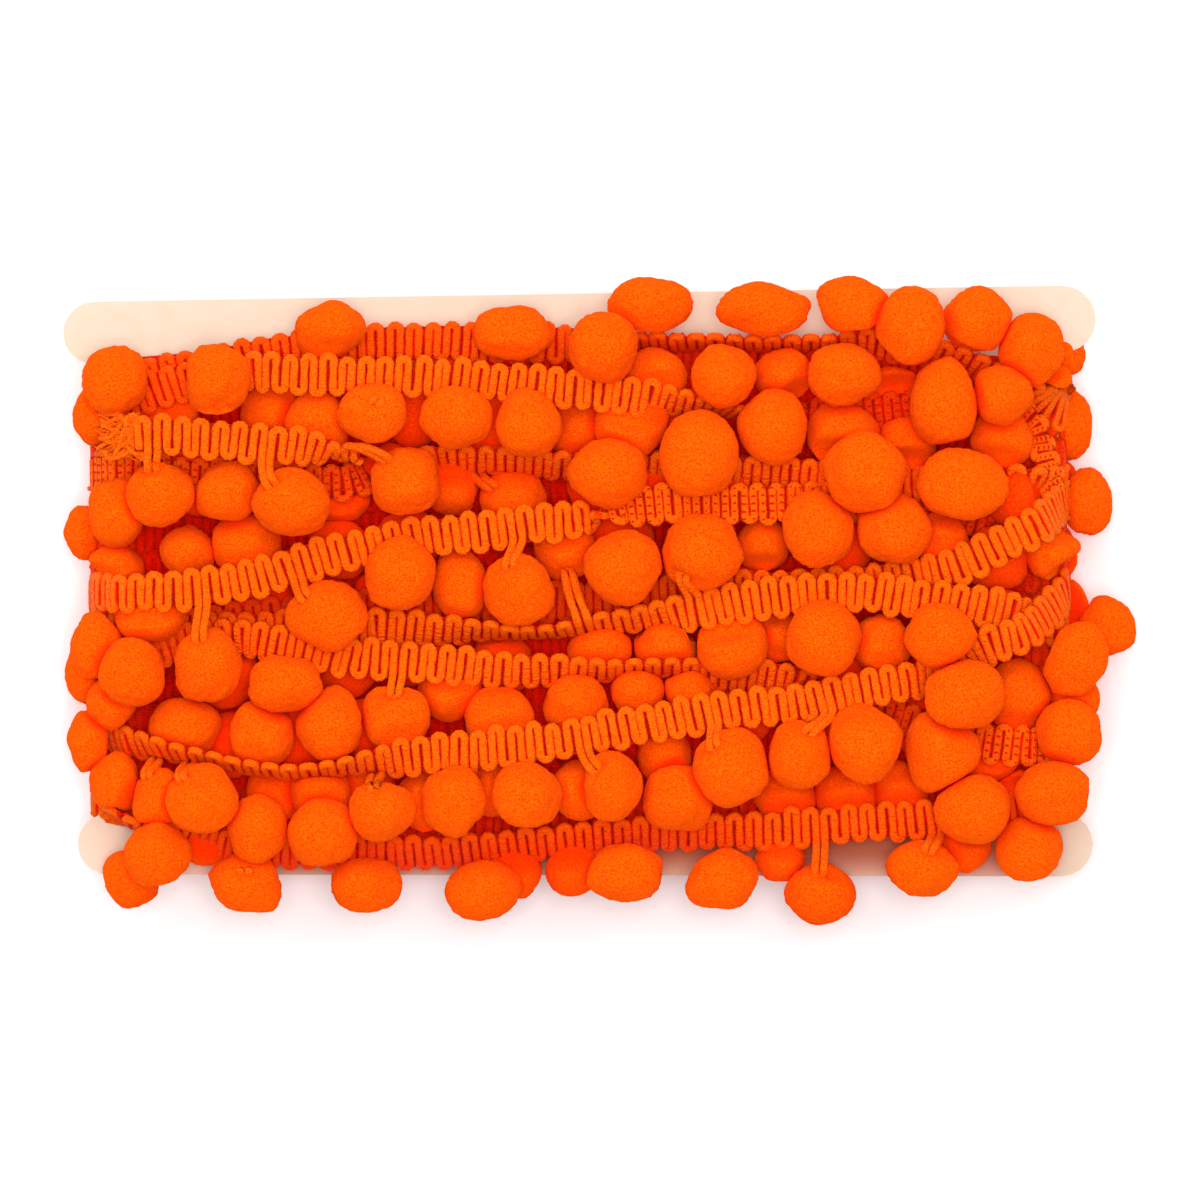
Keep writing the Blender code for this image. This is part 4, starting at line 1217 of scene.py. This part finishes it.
note("braid")
yarn = braidMaterial("braidYarn", braid["colour"])
# a copy of the yarn with painted shade, for the inner rows
shadedYarn = braidMaterial("braidYarnDeep", inner["colour"])
pieces = {}
for number, (name, route) in enumerate({**frontRoutes, **backRoutes}.items()):
    detail = braid["detail"]["front" if name in turns else "back"]
    parts = braidParts(route, links[name], seeds["braid"] + number, *detail)
    pieces[name] = buildPiece("braid_" + name, parts, yarn)
for number, (name, route) in enumerate(innerRoutes.items()):
    outer = number // 2 in (0, inner["rows"] - 1)          # these show at the edges
    straight, bend, sides = inner["detail"]["outer" if outer else "others"]
    rowChance = np.random.default_rng(seeds["inner"] + number)
    path, faces, widths = strandPath(route, [], rowChance, straight, bend)
    part = tube(path, faces, widths, braid["strandHeight"], sides)
    width, height, depth, step = inner["strip"]
    under = route["middle"] - route["face"] * depth
    strip = tube(under[::step], route["face"][::step], width, height, 4)
    # the inner rows other than the outermost take the yarn with painted shade
    pieces[name] = buildPiece("braid_" + name, [part, strip], yarn if outer else shadedYarn)
parts = braidParts(endRoute, links["looseEnd"], seeds["looseEnd"]) + frayedParts(chance)
pieces["looseEnd"] = buildPiece("braid_looseEnd", parts, yarn)

note("pompoms")
felt = pompomMaterial("pompomFelt", pompom["colour"])
# a copy of the felt with painted shade, for the pompoms deep between the turns
shadedFelt = pompomMaterial("pompomFeltDeep", pompom["deepColour"])
groups = {}
for number, ball in enumerate(balls):
    reach = ball["half"].max() + sizes + pompom["shade"]
    near = np.nonzero(lengths(places - ball["place"]) < reach)[0]
    neighbours = [(places[other], sizes[other]) for other in near if other != number]
    part = pompomMesh(ball, number, neighbours, allRoutes, linkInto.get(number))
    groups.setdefault(ball["turn"], []).append(part)
for name, parts in groups.items():
    # the inner pompoms in front take the felt with painted shade
    material = shadedFelt if name == "innerFront" else felt
    piece = buildPiece("pompoms_" + name, parts, material)
    pieces[piece.name] = piece
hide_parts("wound_trim")
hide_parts("loose_end")

note("card")
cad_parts["card"].data.materials.clear()
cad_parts["card"].data.materials.append(cardMaterial())

studio = {
    "floor": (0.98, 0.98, 0.98),
    "floorSize": 8,
    "floorFinish": {"Roughness": 0.9, "Specular IOR Level": 0.1},
    "world": 0.6,
    "bounces": 14,
    "key": {"place": (-0.2, 0.75, 1.5), "size": 1.7, "power": 18.0},
    "fill": {"place": (0.1, -0.1, 4.2), "size": 1.2, "power": 85.0},
    "aim": (-0.1, 0.0, 0.0),             # the place on the card that the camera looks at
    "cameraHeight": 3.6,
    "frameWidth": 0.24,                  # what the camera takes in at that height
    "film": 36.0,
    "sharpLift": 9.0,
}


def makeFloor():
    bpy.ops.mesh.primitive_grid_add(x_subdivisions=1, y_subdivisions=1, size=studio["floorSize"])
    floor = bpy.context.object
    floor.name = "floor"
    material = newMaterial("floorWhite", studio["floor"], studio["floorFinish"])[0]
    floor.data.materials.append(material)


def makeLight(name, values):
    light = bpy.data.lights.new(name, "AREA")
    light.energy = values["power"]
    light.size = values["size"]
    thing = bpy.data.objects.new(name, light)
    thing.location = values["place"]
    thing.rotation_euler = (-Vector(values["place"])).to_track_quat("-Z", "Y").to_euler()
    bpy.context.scene.collection.objects.link(thing)


def makeCamera():
    camera = bpy.data.cameras.new("camera")
    thing = bpy.data.objects.new("camera", camera)
    bpy.context.scene.collection.objects.link(thing)
    sharp = (studio["sharpLift"] + origin[2]) * mm
    thing.location = toWorld(studio["aim"])
    thing.location.z = sharp + studio["cameraHeight"]
    camera.sensor_width = studio["film"]
    camera.lens = studio["film"] * studio["cameraHeight"] / studio["frameWidth"]
    camera.clip_end = 20
    bpy.context.scene.camera = thing


note("studio")
makeFloor()
makeLight("key", studio["key"])
makeLight("fill", studio["fill"])
makeCamera()
world = bpy.data.worlds.new("studio")
world.use_nodes = True
world.node_tree.nodes["Background"].inputs["Color"].default_value = (1, 1, 1, 1)
world.node_tree.nodes["Background"].inputs["Strength"].default_value = studio["world"]
bpy.context.scene.world = world
bpy.context.scene.view_settings.view_transform = "Standard"
bpy.context.scene.cycles.diffuse_bounces = studio["bounces"]
bpy.context.scene.cycles.max_bounces = studio["bounces"] + 4

total = 0
for piece in pieces.values():
    piece.data.calc_loop_triangles()
    count = len(piece.data.loop_triangles)
    total += count
    note("%s %d" % (piece.name, count))
note("triangles %d" % total)
